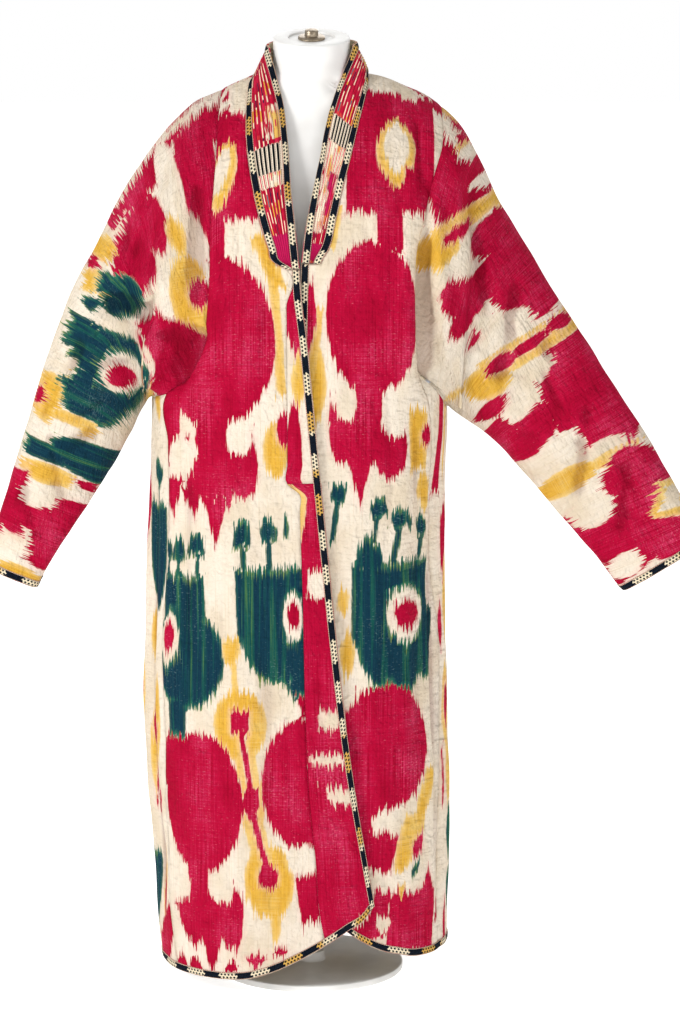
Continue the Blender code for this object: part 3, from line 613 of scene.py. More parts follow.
def back_panel(side):
    """A back from the centre seam to the side. Its neckline lies between the seam and the neck point."""
    left = side < 0
    outer = along(LEFT_OUTER if left else RIGHT_OUTER)
    under = left_under if left else right_under
    neck_x = -72.0 if left else 82.0
    neck_z = NECK_POINT if left else NECK_POINT - 2
    columns = COLUMNS_LEFT if left else COLUMNS_RIGHT
    u = fractions(columns, ACROSS)

    def at_neck(z):
        return neck_x + 0 * z

    def centre(z):
        return 3.0 - 12 * ease((1100 - z) / 900)

    def neck_line(x):
        return neck_z + (NECK_LOW - neck_z) * ease(np.abs(x - neck_x) / 60)

    low = lower_grid(outer, at_neck, BACK_HEM, under, finer(LOW_ROWS, DOWN), u)
    high = upper_grid(
        outer,
        at_neck,
        under,
        1274 if left else 1251,
        neck_z,
        finer(HIGH_ROWS, DOWN),
        u,
        crest_z,
    )
    x = np.concatenate([low[0], high[0][1:]])
    z = np.concatenate([low[1], high[1][1:]])

    def under_neck(v):
        side_value = under(v * 0 + 1)
        return side_value + (UNDERARM + 7 - side_value) * v

    v = fractions(COLUMNS_NECK, ACROSS)
    low = lower_grid(at_neck, centre, BACK_HEM, under_neck, finer(LOW_ROWS, DOWN), v)
    high = upper_grid(
        at_neck,
        centre,
        under_neck,
        neck_z,
        NECK_LOW,
        finer(HIGH_ROWS, DOWN),
        v,
        neck_line,
    )
    x = np.concatenate([x, np.concatenate([low[0], high[0][1:]])[:, 1:]], 1)
    z = np.concatenate([z, np.concatenate([low[1], high[1][1:]])[:, 1:]], 1)
    points = to_points(x, z, 1)
    return points[:, ::-1] if left else points


def gore(side):
    """A side panel from its back seam round to its front seam, the other way round on the right."""
    left = side < 0
    front = front_left()[:, 0] if left else front_right()[:, -1]
    back = back_panel(side)[:, -1 if left else 0]
    rows = (len(LOW_ROWS) - 1) * DOWN + 1
    f = np.asarray(finer(LOW_ROWS, DOWN))[:, None]
    u = fractions(COLUMNS_GORE, ACROSS)[None, :]
    mid_top = 843.0 if left else 827.0
    bow = 4 * u * (1 - u)
    z_line = back[:rows, 2:] * (1 - u) + front[:rows, 2:] * u
    z = z_line + (mid_top - z_line[-1:]) * bow * f**3
    turn_front = -side_turn(side, front[:rows, :1], z)
    turn_back = side_turn(side, back[:rows, :1], z)
    turn = np.where(u < 0.5, turn_back * (1 - 2 * u), turn_front * (2 * u - 1))
    points = side_point(side, turn, z)
    points[:, 0] = back[:rows]
    points[:, -1] = front[:rows]
    return points if left else points[:, ::-1]


def armhole(side):
    """The armhole's points from its low point up the front, over the shoulder and down the back."""
    left = side < 0
    top = (len(LOW_ROWS) - 1) * DOWN
    under = gore(side)[-1]
    half = COLUMNS_GORE * ACROSS // 2
    if left:
        front = front_left()[top:, 0]
        back = back_panel(-1)[top:, -1]
        low_front = under[half:]
        low_back = under[: half + 1][::-1]
    else:
        front = front_right()[top:, -1]
        back = back_panel(1)[top:, 0]
        low_front = under[: half + 1][::-1]
        low_back = under[half:]
    return np.concatenate([low_front[:-1], front, back[::-1][1:], low_back[::-1][1:]])


def sleeve(side):
    """A sleeve from armhole to cuff, one row a ring."""
    tab = SLEEVE_LEFT if side < 0 else SLEEVE_RIGHT
    first = armhole(side)
    count = len(first) - 1
    around = np.arange(count + 1) / count * 2 * np.pi
    lift = np.sign(-np.cos(around)) * np.abs(np.cos(around)) ** (2 / SLEEVE_POWER)
    reach = -np.sign(np.sin(around)) * np.abs(np.sin(around)) ** (2 / SLEEVE_POWER)
    rings = [first]
    for i in range(len(tab["step"])):
        top = np.array([tab["top_x"][i], 0.0, tab["top_z"][i]])
        low = np.array([tab["low_x"][i], 0.0, tab["low_z"][i]])
        depth = np.where(reach < 0, tab["front"][i], tab["back"][i])
        ring = (top + low) / 2 + lift[:, None] * (top - low) / 2
        ring[:, 1] += depth * reach
        rings.append(ring)
    steps = np.concatenate([[0], tab["step"]])
    points = smooth(steps, np.array(rings), finer(steps, DOWN))
    return points if side < 0 else points[:, ::-1]


def fold_field(points, normals):
    """How far each point of the robe moves out along its normal."""
    x, y, z = points[:, 0], points[:, 1], points[:, 2]
    out = np.zeros(len(points))
    for face, x0, z0, x1, z1, high, wide in zip(*FOLDS.values()):
        dx, dz = x1 - x0, z1 - z0
        length = np.hypot(dx, dz)
        t = ((x - x0) * dx + (z - z0) * dz) / length**2
        away = np.abs((x - x0) * dz - (z - z0) * dx) / length
        ends = ease(t * 4 + 0.35) * ease((1 - t) * 4 + 0.35)
        facing = ease(face * y / 40) * ease(face * normals[:, 1] * 2)
        out += high * np.exp(-((away / wide) ** 2)) * ends * facing
    for side, y0, y1, low, top, high, wide in zip(*SIDE_FOLDS.values()):
        t = (z - low) / (top - low)
        away = np.abs(y - (y0 + (y1 - y0) * t))
        ends = ease(t * 4 + 0.35) * ease((1 - t) * 5)
        facing = ease(side * normals[:, 0] * 2 - 0.4) * (np.abs(x + 12) > 150)
        out += high * np.exp(-((away / wide) ** 2)) * ends * facing
    return out


def collar(front, back_l, back_r, right):
    """The collar's grid, left end to right end round the neck. Columns run from seam to free edge."""
    start = COLLAR_ROW * DOWN
    left_seam = front[start:, -1]
    neck = COLUMNS_NECK * ACROSS
    back_seam = np.concatenate([back_l[-1, : neck + 1][::-1], back_r[-1, -neck - 1 :][::-1][1:]])
    right_seam = right[start:, 0][::-1]
    seam = np.concatenate([left_seam, back_seam[1:-1], right_seam])
    z = left_seam[:, 2]
    f = ((z - z[0]) / (z[-1] - z[0]))[:, None]
    z_left = z[0] + 2 + (1331 - z[0]) * f[:, 0]
    left = np.stack([look(COLLAR_LEFT, "x", z_left), look(COLLAR_LEFT, "y", z_left), z_left], -1)
    steps = finer(COLLAR_BACK["step"], ACROSS)
    middle = np.stack([look(COLLAR_BACK, name, steps) for name in "xyz"], -1)
    z = right_seam[:, 2]
    z_right = z[-1] + 2 + (1336 - z[-1]) * (z - z[-1]) / (z[0] - z[-1])
    right_edge = np.stack(
        [look(COLLAR_RIGHT, "x", z_right), look(COLLAR_RIGHT, "y", z_right), z_right], -1
    )
    edge = np.concatenate([left, middle[1:-1], push_under(right_edge)])
    wide = np.linalg.norm(edge - seam, axis=1)[:, None]
    trim = np.minimum((BRAID_WIDE + 1) / wide, 0.42)
    ribs = np.linspace(0, 1, COLLAR_RIBS * RIB_CELLS + 1)
    w = np.concatenate(
        [
            trim * np.linspace(0, 1, ACROSS + 1)[:-1],
            trim + (1 - 2 * trim) * ribs,
            1 - trim * np.linspace(1, 0, ACROSS + 1)[1:],
        ],
        1,
    )
    flat = seam[:, None] * (1 - w[..., None]) + edge[:, None] * w[..., None]
    centre = np.array([3.0, 1.5])
    away = flat[..., :2] - centre
    away /= np.linalg.norm(away, axis=-1, keepdims=True)
    bulge = 16 * w * (1 - w) * ease((flat[..., 2] - 1050) / 120)
    flat[..., :2] += away * bulge[..., None]
    return flat


CREASE_DEEP = 1.5
# Smaller creases: a line on one face, how far it stands out, how wide it is, and how much it bows sideways.
CREASES = table(
    "face x0 z0 x1 z1 out wide bow",
    (-1, -196, 1180, -178, 1040, -1.8, 5, 6),
    (-1, -160, 1200, -150, 1110, 1.4, 6, -4),
    (-1, -118, 1240, -112, 1150, -1.2, 5, 3),
    (-1, -100, 1120, -108, 940, -1.3, 6, -5),
    (-1, -130, 960, -136, 800, 1.6, 6, 4),
    (-1, -60, 1000, -66, 820, -1.1, 6, 3),
    (-1, -180, 840, -170, 700, -1.6, 6, 4),
    (-1, -150, 700, -160, 520, 1.5, 7, -4),
    (-1, -120, 640, -116, 420, -1.4, 6, 5),
    (-1, -188, 560, -184, 330, 1.8, 7, -6),
    (-1, -82, 560, -88, 360, 1.2, 8, 4),
    (-1, -140, 380, -148, 160, -1.5, 6, 4),
    (-1, -40, 400, -36, 230, 1.2, 7, -3),
    (-1, -90, 250, -96, 80, -1.1, 6, 3),
    (-1, 20, 560, 14, 330, -1.0, 7, 3),
    (-1, 52, 380, 60, 200, 1.1, 7, 4),
    (-1, 70, 1180, 84, 1050, -1.2, 6, 4),
    (-1, 96, 1120, 100, 930, 1.4, 7, -5),
    (-1, 120, 1200, 130, 1090, -1.5, 5, 4),
    (-1, 60, 960, 52, 760, -1.3, 6, 5),
    (-1, 108, 860, 112, 640, -1.6, 6, -5),
    (-1, 140, 800, 150, 600, 1.8, 7, 5),
    (-1, 90, 640, 84, 420, 1.4, 7, -4),
    (-1, 168, 640, 164, 380, -1.8, 6, 4),
    (-1, 120, 430, 128, 200, -1.5, 6, -5),
    (-1, 176, 380, 172, 150, 1.7, 7, 3),
    (-1, 100, 260, 96, 110, 1.1, 6, 3),
    (-1, -222, 1130, -262, 1000, 1.8, 8, 6),
    (-1, -236, 1090, -276, 960, -1.8, 6, -6),
    (-1, -240, 900, -310, 880, -2.0, 6, 5),
    (-1, -262, 1040, -318, 900, 1.6, 7, 6),
    (-1, -290, 880, -372, 860, 1.8, 7, 6),
    (-1, -284, 850, -340, 812, -1.8, 6, -4),
    (-1, -340, 900, -386, 790, -1.7, 6, 5),
    (-1, -322, 782, -392, 764, 1.9, 7, 4),
    (-1, -352, 850, -404, 740, 1.6, 7, -4),
    (-1, -350, 722, -404, 706, -1.8, 6, 4),
    (-1, -380, 760, -430, 670, -1.5, 6, 4),
    (-1, -376, 668, -436, 650, 1.6, 6, -3),
    (-1, 214, 1150, 246, 1020, -1.6, 6, 5),
    (-1, 238, 1060, 280, 930, 1.6, 7, -5),
    (-1, 186, 1150, 196, 1010, -1.5, 6, 3),
    (-1, 258, 1010, 318, 880, -1.8, 7, 5),
    (-1, 232, 880, 320, 868, -1.8, 6, -5),
    (-1, 286, 960, 352, 850, 1.6, 7, -5),
    (-1, 250, 830, 330, 800, 1.8, 7, 4),
    (-1, 320, 900, 384, 790, -1.7, 6, 4),
    (-1, 330, 800, 400, 776, -1.7, 6, 4),
    (-1, 372, 830, 432, 730, 1.6, 7, 4),
    (-1, 380, 730, 446, 712, 1.6, 6, -3),
    (-1, 420, 770, 476, 682, -1.6, 6, -4),
    (-1, 430, 690, 500, 660, -1.5, 6, 3),
    (-1, 480, 720, 530, 640, 1.4, 6, 3),
    (-1, 170, 1196, 157, 930, -4.2, 8, 0),
    (-1, 184, 1176, 176, 960, 2.4, 9, 4),
    (-1, -238, 944, -304, 976, -3.2, 6, 3),
    (-1, -236, 938, -292, 914, 2.8, 6, -3),
    (-1, -204, 1010, -236, 946, -2.8, 6, 3),
    (-1, -252, 1130, -240, 956, -2.2, 8, 8),
    (-1, -150, 1190, -158, 960, -2.6, 8, 4),
    (-1, -136, 1150, -132, 900, 1.8, 9, -4),
    (1, -150, 1180, -160, 1040, 1.6, 7, 5),
    (1, -100, 1200, -96, 1000, -1.5, 6, -5),
    (1, -40, 1180, -48, 980, 1.4, 7, 5),
    (1, 40, 1160, 46, 960, -1.4, 6, -5),
    (1, 110, 1190, 104, 1020, 1.5, 7, 4),
    (1, -160, 900, -150, 640, -1.8, 7, 5),
    (1, -96, 820, -104, 520, 1.7, 7, -5),
    (1, -30, 860, -22, 560, -1.6, 7, 5),
    (1, 36, 780, 30, 480, 1.6, 7, 5),
    (1, 96, 880, 104, 600, -1.8, 7, -5),
    (1, 150, 760, 144, 420, 1.8, 7, 5),
    (1, -170, 500, -160, 180, 1.6, 7, -5),
    (1, -60, 460, -52, 140, -1.6, 7, 5),
    (1, 10, 420, 16, 120, 1.5, 7, -5),
    (1, 84, 460, 78, 160, -1.7, 7, 5),
    (1, -236, 1080, -280, 940, 1.7, 7, 5),
    (1, -262, 900, -340, 880, -1.8, 6, 4),
    (1, -330, 860, -390, 740, 1.6, 7, -4),
    (1, -346, 730, -410, 712, -1.6, 6, 3),
    (1, 236, 1060, 280, 920, 1.7, 7, -5),
    (1, 262, 900, 340, 880, -1.8, 6, 4),
    (1, 330, 870, 396, 770, 1.6, 7, 4),
    (1, 386, 720, 450, 700, -1.6, 6, 3),
    (1, 440, 740, 500, 660, 1.5, 6, 3),
)


def crease_field(points, normals):
    """The small creases, each a soft line that bows a little and dies away at both ends."""
    x, y, z = points[:, 0], points[:, 1], points[:, 2]
    out = np.zeros(len(points))
    for face, x0, z0, x1, z1, high, wide, bow in zip(*CREASES.values()):
        dx, dz = x1 - x0, z1 - z0
        length = math.hypot(dx, dz)
        t = ((x - x0) * dx + (z - z0) * dz) / length**2
        t_in = np.clip(t, 0, 1)
        away = ((x - x0) * dz - (z - z0) * dx) / length - bow * np.sin(t_in * math.pi)
        wide_here = wide * (0.75 + 0.5 * t_in)
        ends = ease(t * 3 + 0.1) * ease((1 - t) * 3 + 0.1)
        facing = ease(face * y / 30) * ease(face * normals[:, 1] * 2)
        out += CREASE_DEEP * high * np.exp(-((away / wide_here) ** 2)) * ends * facing
    return out


def ripple(points):
    """The slow unevenness that all of the cloth has."""
    x, y, z = points[:, 0], points[:, 1], points[:, 2]
    out = 0.9 * np.sin(x / 23 + z / 61 + 0.6) * np.sin(z / 47 - x / 71 + y / 38)
    out += 0.6 * np.sin(x / 11.5 - z / 83 + 1.9) * np.sin(z / 29 + y / 21 + 0.7)
    out += 0.35 * np.sin(x / 7.3 + z / 37 + y / 9 + 2.2) * np.sin(z / 17 - x / 43)
    return out


def lengths(points, axis):
    """How far along a grid each point is, measured on the cloth."""
    steps = np.linalg.norm(np.diff(points, axis=axis), axis=-1)
    zero = np.zeros_like(np.take(steps, [0], axis=axis))
    return np.concatenate([zero, np.cumsum(steps, axis=axis)], axis=axis)


def across_from(points, x_line):
    """Signed distance along each row from the upright line at this x."""
    run = lengths(points, 1)
    out = np.empty_like(run)
    for i, row in enumerate(points):
        order = np.argsort(row[:, 0])
        start = np.interp(x_line, row[order, 0], run[i][order])
        sign = 1 if row[-1, 0] > row[0, 0] else -1
        out[i] = (run[i] - start) * sign
    return out


def up_from_floor(points):
    """Height along the warp: the first row's own height, then the distance up the cloth."""
    flat = points.copy()
    flat[..., 0] = 0
    return points[:1, :, 2] + lengths(flat, 0)


def edge_dip(points, edges):
    """How far a panel sinks beside its seams. Edges names them by side: low, high, first or last column."""
    down, side = lengths(points, 0), lengths(points, 1)
    away = {
        "low": down,
        "high": down[-1:] - down,
        "first": side,
        "last": side[:, -1:] - side,
    }
    out = np.zeros(points.shape[:2])
    for edge in edges:
        out = np.minimum(out, -SEAM_DIP * np.exp(-((away[edge] / SEAM_WIDE) ** 2)))
    return out


def draw_in(points, edges):
    """Pulls the border of a panel in from its seams by a hair."""
    out = points.copy()
    for edge in edges:
        at, near = {
            "low": ((0, slice(None)), (1, slice(None))),
            "high": ((-1, slice(None)), (-2, slice(None))),
            "first": ((slice(None), 0), (slice(None), 1)),
            "last": ((slice(None), -1), (slice(None), -2)),
        }[edge]
        step = points[near] - points[at]
        size = np.maximum(np.linalg.norm(step, axis=-1, keepdims=True), 1e-6)
        out[at] += step / size * SEAM_GAP
    return out


class Net:
    """All panels welded into one net, so that they share their normals and folds at the seams."""

    def __init__(self):
        self.grids = {}

    def add(self, name, grid):
        self.grids[name] = grid

    def weld(self):
        flat = np.concatenate([g.reshape(-1, 3) for g in self.grids.values()])
        keys = np.round(flat / 0.02).astype(np.int64)
        _, first, index = np.unique(keys, axis=0, return_index=True, return_inverse=True)
        index = index.reshape(-1)
        self.points = flat[first]
        self.index = {}
        start = 0
        quads = []
        for name, grid in self.grids.items():
            rows, columns = grid.shape[:2]
            ids = index[start : start + rows * columns].reshape(rows, columns)
            start += rows * columns
            self.index[name] = ids
            cells = np.stack([ids[:-1, :-1], ids[:-1, 1:], ids[1:, 1:], ids[1:, :-1]], -1)
            quads.append(cells.reshape(-1, 4))
        self.quads = np.concatenate(quads)

    def normals(self):
        corners = self.points[self.quads]
        face = np.cross(corners[:, 2] - corners[:, 0], corners[:, 3] - corners[:, 1])
        total = np.zeros_like(self.points)
        for k in range(4):
            np.add.at(total, self.quads[:, k], face)
        return total / np.maximum(np.linalg.norm(total, axis=1, keepdims=True), 1e-9)

    def move_out(self, field):
        normals = self.normals()
        self.points = self.points + normals * field(self.points, normals)[:, None]


def soften(grid, times):
    """Evens a field over a grid."""
    for _ in range(times):
        grid = grid.copy()
        grid[1:-1] = (grid[:-2] + 2 * grid[1:-1] + grid[2:]) / 4
        grid[:, 1:-1] = (grid[:, :-2] + 2 * grid[:, 1:-1] + grid[:, 2:]) / 4
    return grid


def border_edges(quads):
    """Edges that only one cell has, each as (start, end) in its cell's order."""
    ends = np.concatenate([quads[:, [k, (k + 1) % 4]] for k in range(4)])
    ends = ends[ends[:, 0] != ends[:, 1]]
    low = np.sort(ends, axis=1)
    _, first, count = np.unique(low, axis=0, return_index=True, return_counts=True)
    return ends[first[count == 1]]


def mesh_object(name, points, faces, materials, slots=None, data=None, uv=None):
    """A mesh from points in mm. Data are point attributes; uv is a pair for each point."""
    mesh = bpy.data.meshes.new(name)
    mesh.from_pydata(np.asarray(points) / 1000, [], faces)
    for material in materials:
        mesh.materials.append(material)
    if slots is not None:
        mesh.polygons.foreach_set("material_index", np.asarray(slots, np.int32))
    mesh.polygons.foreach_set("use_smooth", np.ones(len(mesh.polygons), bool))
    corner = np.empty(len(mesh.loops), np.int32)
    mesh.loops.foreach_get("vertex_index", corner)
    if uv is not None:
        layer = mesh.uv_layers.new(name="cloth")
        layer.data.foreach_set("uv", np.asarray(uv, np.float32)[corner].reshape(-1))
    for key, values in (data or {}).items():
        kind = "FLOAT_VECTOR" if values.ndim == 2 else "FLOAT"
        slot = mesh.attributes.new(key, kind, "POINT")
        field = "vector" if values.ndim == 2 else "value"
        slot.data.foreach_set(field, values.astype(np.float32).reshape(-1))
    mesh.update()
    obj = bpy.data.objects.new(name, mesh)
    bpy.context.scene.collection.objects.link(obj)
    return obj


def fold_shade_depth(points, normals):
    """How deep each point lies in a fold, in mm: how far it is below an evened copy of its grid. The cloth's
    colour is darkened by it as painted shade.
    """
    return ((soften(points, 36) - points) * normals).sum(-1)


def shell(name, patches, outside, inside, thick=CLOTH_THICK, merge=False):
    """A closed thin shell through grids of (points, normals, cloth places, dye, run of the dye)."""
    points = np.concatenate([p[0].reshape(-1, 3) for p in patches])
    normals = np.concatenate([p[1].reshape(-1, 3) for p in patches])
    places = np.concatenate([p[2].reshape(-1, 2) for p in patches])
    dye = np.concatenate([p[3].reshape(-1, 3) for p in patches])
    run = np.concatenate([p[4].reshape(-1, 3) for p in patches])
    # How deep each point lies in a fold, kept as an attribute for the painted shade in the cloth's colour.
    fold = np.concatenate([fold_shade_depth(p[0], p[1]).reshape(-1) for p in patches])
    quads = []
    start = 0
    for patch in patches:
        rows, columns = patch[0].shape[:2]
        ids = np.arange(rows * columns).reshape(rows, columns) + start
        start += rows * columns
        cells = np.stack([ids[:-1, :-1], ids[:-1, 1:], ids[1:, 1:], ids[1:, :-1]], -1)
        quads.append(cells.reshape(-1, 4))
    quads = np.concatenate(quads)
    if merge:
        keys = np.round(points / 0.05).astype(np.int64)
        _, first, index = np.unique(keys, axis=0, return_index=True, return_inverse=True)
        quads = index.reshape(-1)[quads]
        points, normals, places = points[first], normals[first], places[first]
        dye, run, fold = dye[first], run[first], fold[first]
    count = len(points)
    edges = border_edges(quads)
    walls = np.stack([edges[:, 1], edges[:, 0], edges[:, 0] + count, edges[:, 1] + count], -1)
    faces = np.concatenate([quads, quads[:, ::-1] + count, walls])
    slots = np.zeros(len(faces), int)
    slots[len(quads) : 2 * len(quads)] = 1
    all_points = np.concatenate([points, points - normals * thick])
    obj = mesh_object(
        name,
        all_points,
        tidy_faces(faces),
        [outside, inside],
        slots,
        {"dye": np.tile(dye, (2, 1)), "run": np.tile(run, (2, 1)), "fold": np.tile(fold, 2)},
        np.tile(places / 1000, (2, 1)),
    )
    return obj


def tidy_faces(faces):
    """Four-sided faces as lists, with a doubled corner dropped."""
    same = (faces == np.roll(faces, 1, axis=1)).any(1)
    if not same.any():
        return faces.tolist()
    out = []
    for face, double in zip(faces.tolist(), same):
        out.append([v for k, v in enumerate(face) if v != face[k - 1]] if double else face)
    return out


# Shapes of the dyed pattern, each given by how its half width runs from its low end (0) to its high end (1).
def width_at(shape, t):
    if shape == "oval":
        return 2 * np.sqrt(t * (1 - t))
    if shape == "block":
        return np.ones_like(t)
    if shape == "leaf":
        return np.sin(math.pi * t) ** 0.9
    if shape == "diamond":
        return 1 - np.abs(2 * t - 1)
    if shape == "drop":
        return 1.75 * np.sqrt(t) * (1 - t) ** 0.8
    if shape == "bud":
        return 1.75 * np.sqrt(1 - t) * t**0.8
    if shape == "wedge":
        return t
    if shape == "spire":
        return 1 - t
    if shape == "bowl":
        return np.sqrt(np.clip(1 - (1 - t) ** 2.6, 0, 1))
    if shape == "bell":
        return np.sqrt(np.clip(1 - t**2.6, 0, 1))
    raise ValueError(shape)


def shape_depth(shape, across, along, wide, high):
    """Distance to a shape's edge in mm, less than nothing inside it."""
    t = np.clip((along / high + 1) / 2, 0, 1)
    side = (np.abs(across) - wide * width_at(shape, t)) * min(1.0, high / wide * 0.9)
    end = np.abs(along) - high
    return np.where(end > 0, np.hypot(np.maximum(side, 0), end), np.maximum(side, end))


DYES = ("red", "yellow", "green")


def paint(places, motifs):
    """Distance in mm to each dye's edge, with every motif laid over those before it."""
    u, v = places[..., 0], places[..., 1]
    depth = np.full(u.shape + (3,), 60.0)
    for dye, shape, at_u, at_v, wide, high, lean in motifs:
        turn = math.radians(lean)
        across = (u - at_u) * math.cos(turn) - (v - at_v) * math.sin(turn)
        along = (u - at_u) * math.sin(turn) + (v - at_v) * math.cos(turn)
        d = shape_depth(shape, across, along, wide, high)
        for k, name in enumerate(DYES):
            if name == dye:
                depth[..., k] = np.minimum(depth[..., k], d)
            else:
                depth[..., k] = np.maximum(depth[..., k], -d)
    return np.clip(depth, -40, 60)


def dyed(places, motifs, warp=(0.0, 1.0)):
    """The pattern at each point, and how fast it changes along the warp."""
    step = np.asarray(warp) * 2.0
    depth = paint(places, motifs)
    run = (paint(places + step, motifs) - paint(places - step, motifs)) / 4
    return depth, run


FRONT_LEFT_DYE = (
    ("red", "block", -3.1, 1184, 49, 84, -1),
    ("cream", "block", 4.5, 1297, 19, 39, -2),
    ("cream", "leaf", -35, 1304, 18, 13, 57),
    ("yellow", "bud", -20, 1162, 26, 49, 10),
    ("cream", "bud", -24, 1171, 16, 32, 13),
    ("red", "block", -31, 1067, 15, 50, 0),
    ("yellow", "block", 45, 1042, 11.1, 41, -22),
    ("yellow", "block", 57, 942, 6.9, 83, -4),
    ("yellow", "oval", 55, 782, 19, 40, 0),
    ("red", "oval", 67, 810, 11.1, 25, 0),
    ("red", "oval", -34, 932, 88, 123, 0),
    ("red", "block", -108, 848, 19, 95, 1),
    ("red", "block", -38, 805, 23, 42, 0),
    ("red", "block", -44, 752, 37, 45, 0),
    ("red", "oval", 8.6, 756, 21, 47, 0),
    ("red", "spire", 21, 794, 7.0, 17, 0),
    ("red", "wedge", -31, 682, 22, 35, 0),
    ("red", "wedge", -68, 704, 23, 21, 0),
    ("red", "wedge", -102, 709, 18, 31, 0),
    ("cream", "oval", -88, 766, 22, 30, 0),
    ("cream", "spire", -67, 790, 9.9, 21, 0),
    ("cream", "oval", 3.1, 798, 18, 27, 0),
    ("green", "block", -84, 554, 37, 48, -2),
    ("green", "oval", -81, 482, 61, 74, 0),
    ("green", "block", -97, 398, 15, 32, 1),
    ("green", "oval", -92, 634, 9.4, 20, 0),
    ("green", "oval", -109, 634, 6.3, 16, 0),
    ("green", "bell", -63, 647, 16, 17, 0),
    ("green", "block", -93, 600, 3.2, 23, 0),
    ("green", "block", -60, 604, 4.5, 26, 4),
    ("green", "block", -111, 599, 2.5, 31, 0),
    ("cream", "leaf", -111, 506, 18, 41, 7),
    ("red", "leaf", -112, 509, 10.6, 26, 7),
    ("green", "block", 46, 563, 48, 54, -2),
    ("green", "oval", 73, 523, 67, 76, 0),
    ("green", "leaf", 89, 447, 17, 43, -21),
    ("cream", "oval", 79, 546, 14, 34, 0),
    ("red", "oval", 80, 548, 8.6, 20, 0),
    ("green", "bell", 6.8, 662, 13, 20, 0),
    ("green", "block", 8.7, 624, 4.3, 28, -3),
    ("green", "oval", 41, 667, 9.1, 20, 0),
    ("green", "oval", 53, 667, 4.2, 14, 0),
    ("green", "block", 45, 628, 4.5, 34, -4),
    ("green", "oval", 69, 670, 4.2, 17, 0),
    ("yellow", "bowl", -9.8, 495, 14, 21, 0),
    ("yellow", "block", -4.2, 451, 4.4, 26, -4),
    ("yellow", "oval", 2.8, 393, 39, 51, 0),
    ("yellow", "block", 14, 322, 15, 49, -9),
    ("yellow", "oval", 19, 282, 21, 37, 0),
    ("yellow", "block", 29, 226, 15, 43, -15),
    ("yellow", "oval", 46, 168, 38, 55, -6),
    ("yellow", "bud", 56, 102, 10.8, 29, 0),
    ("red", "block", 2.8, 397, 13, 16, 0),
    ("red", "block", 11.4, 341, 4.0, 43, -9),
    ("red", "oval", 19, 281, 11.8, 25, 0),
    ("red", "block", 30, 229, 4.5, 40, -16),
    ("red", "oval", 44, 175, 15, 20, 0),
    ("red", "oval", -57, 276, 63, 102, 1),
    ("red", "block", -103, 334, 20, 35, 2),
    ("red", "block", -64, 161, 17, 35, 1),
    ("red", "block", -44, 116, 35, 38, 0),
    ("red", "oval", -10.4, 114, 17, 47, 0),
    ("red", "oval", -76, 112, 23, 39, -10),
    ("red", "spire", -100, 131, 9.1, 13, 1),
    ("red", "spire", -4.3, 143, 6.0, 13, 0),
    ("red", "wedge", -41, 58, 19, 36, 1),
    ("red", "wedge", -70, 73, 15, 18, 1),
    ("red", "wedge", -4.6, 73, 10.5, 19, 0),
    ("cream", "oval", -96, 154, 20, 27, 1),
    ("cream", "oval", -27, 156, 20, 25, 0),
    ("red", "oval", 98, 308, 64, 95, -1),
    ("red", "wedge", 96, 413, 10.3, 20, -1),
    ("red", "block", 127, 215, 22, 72, -7),
    ("cream", "oval", 100, 198, 26, 25, 0),
    ("red", "block", 122, 147, 32, 35, -10),
    ("cream", "spire", 140, 116, 13, 17, -1),
    ("red", "leaf", -97, 34, 11.5, 18, 4),
    ("red", "leaf", -69, 36, 11.1, 15, 2),
    ("red", "leaf", -12, 40, 9.1, 11.8, 0),
    ("red", "leaf", 25, 53, 14, 10.3, 1),
    ("red", "leaf", 63, 65, 10.8, 7.3, 1),
)
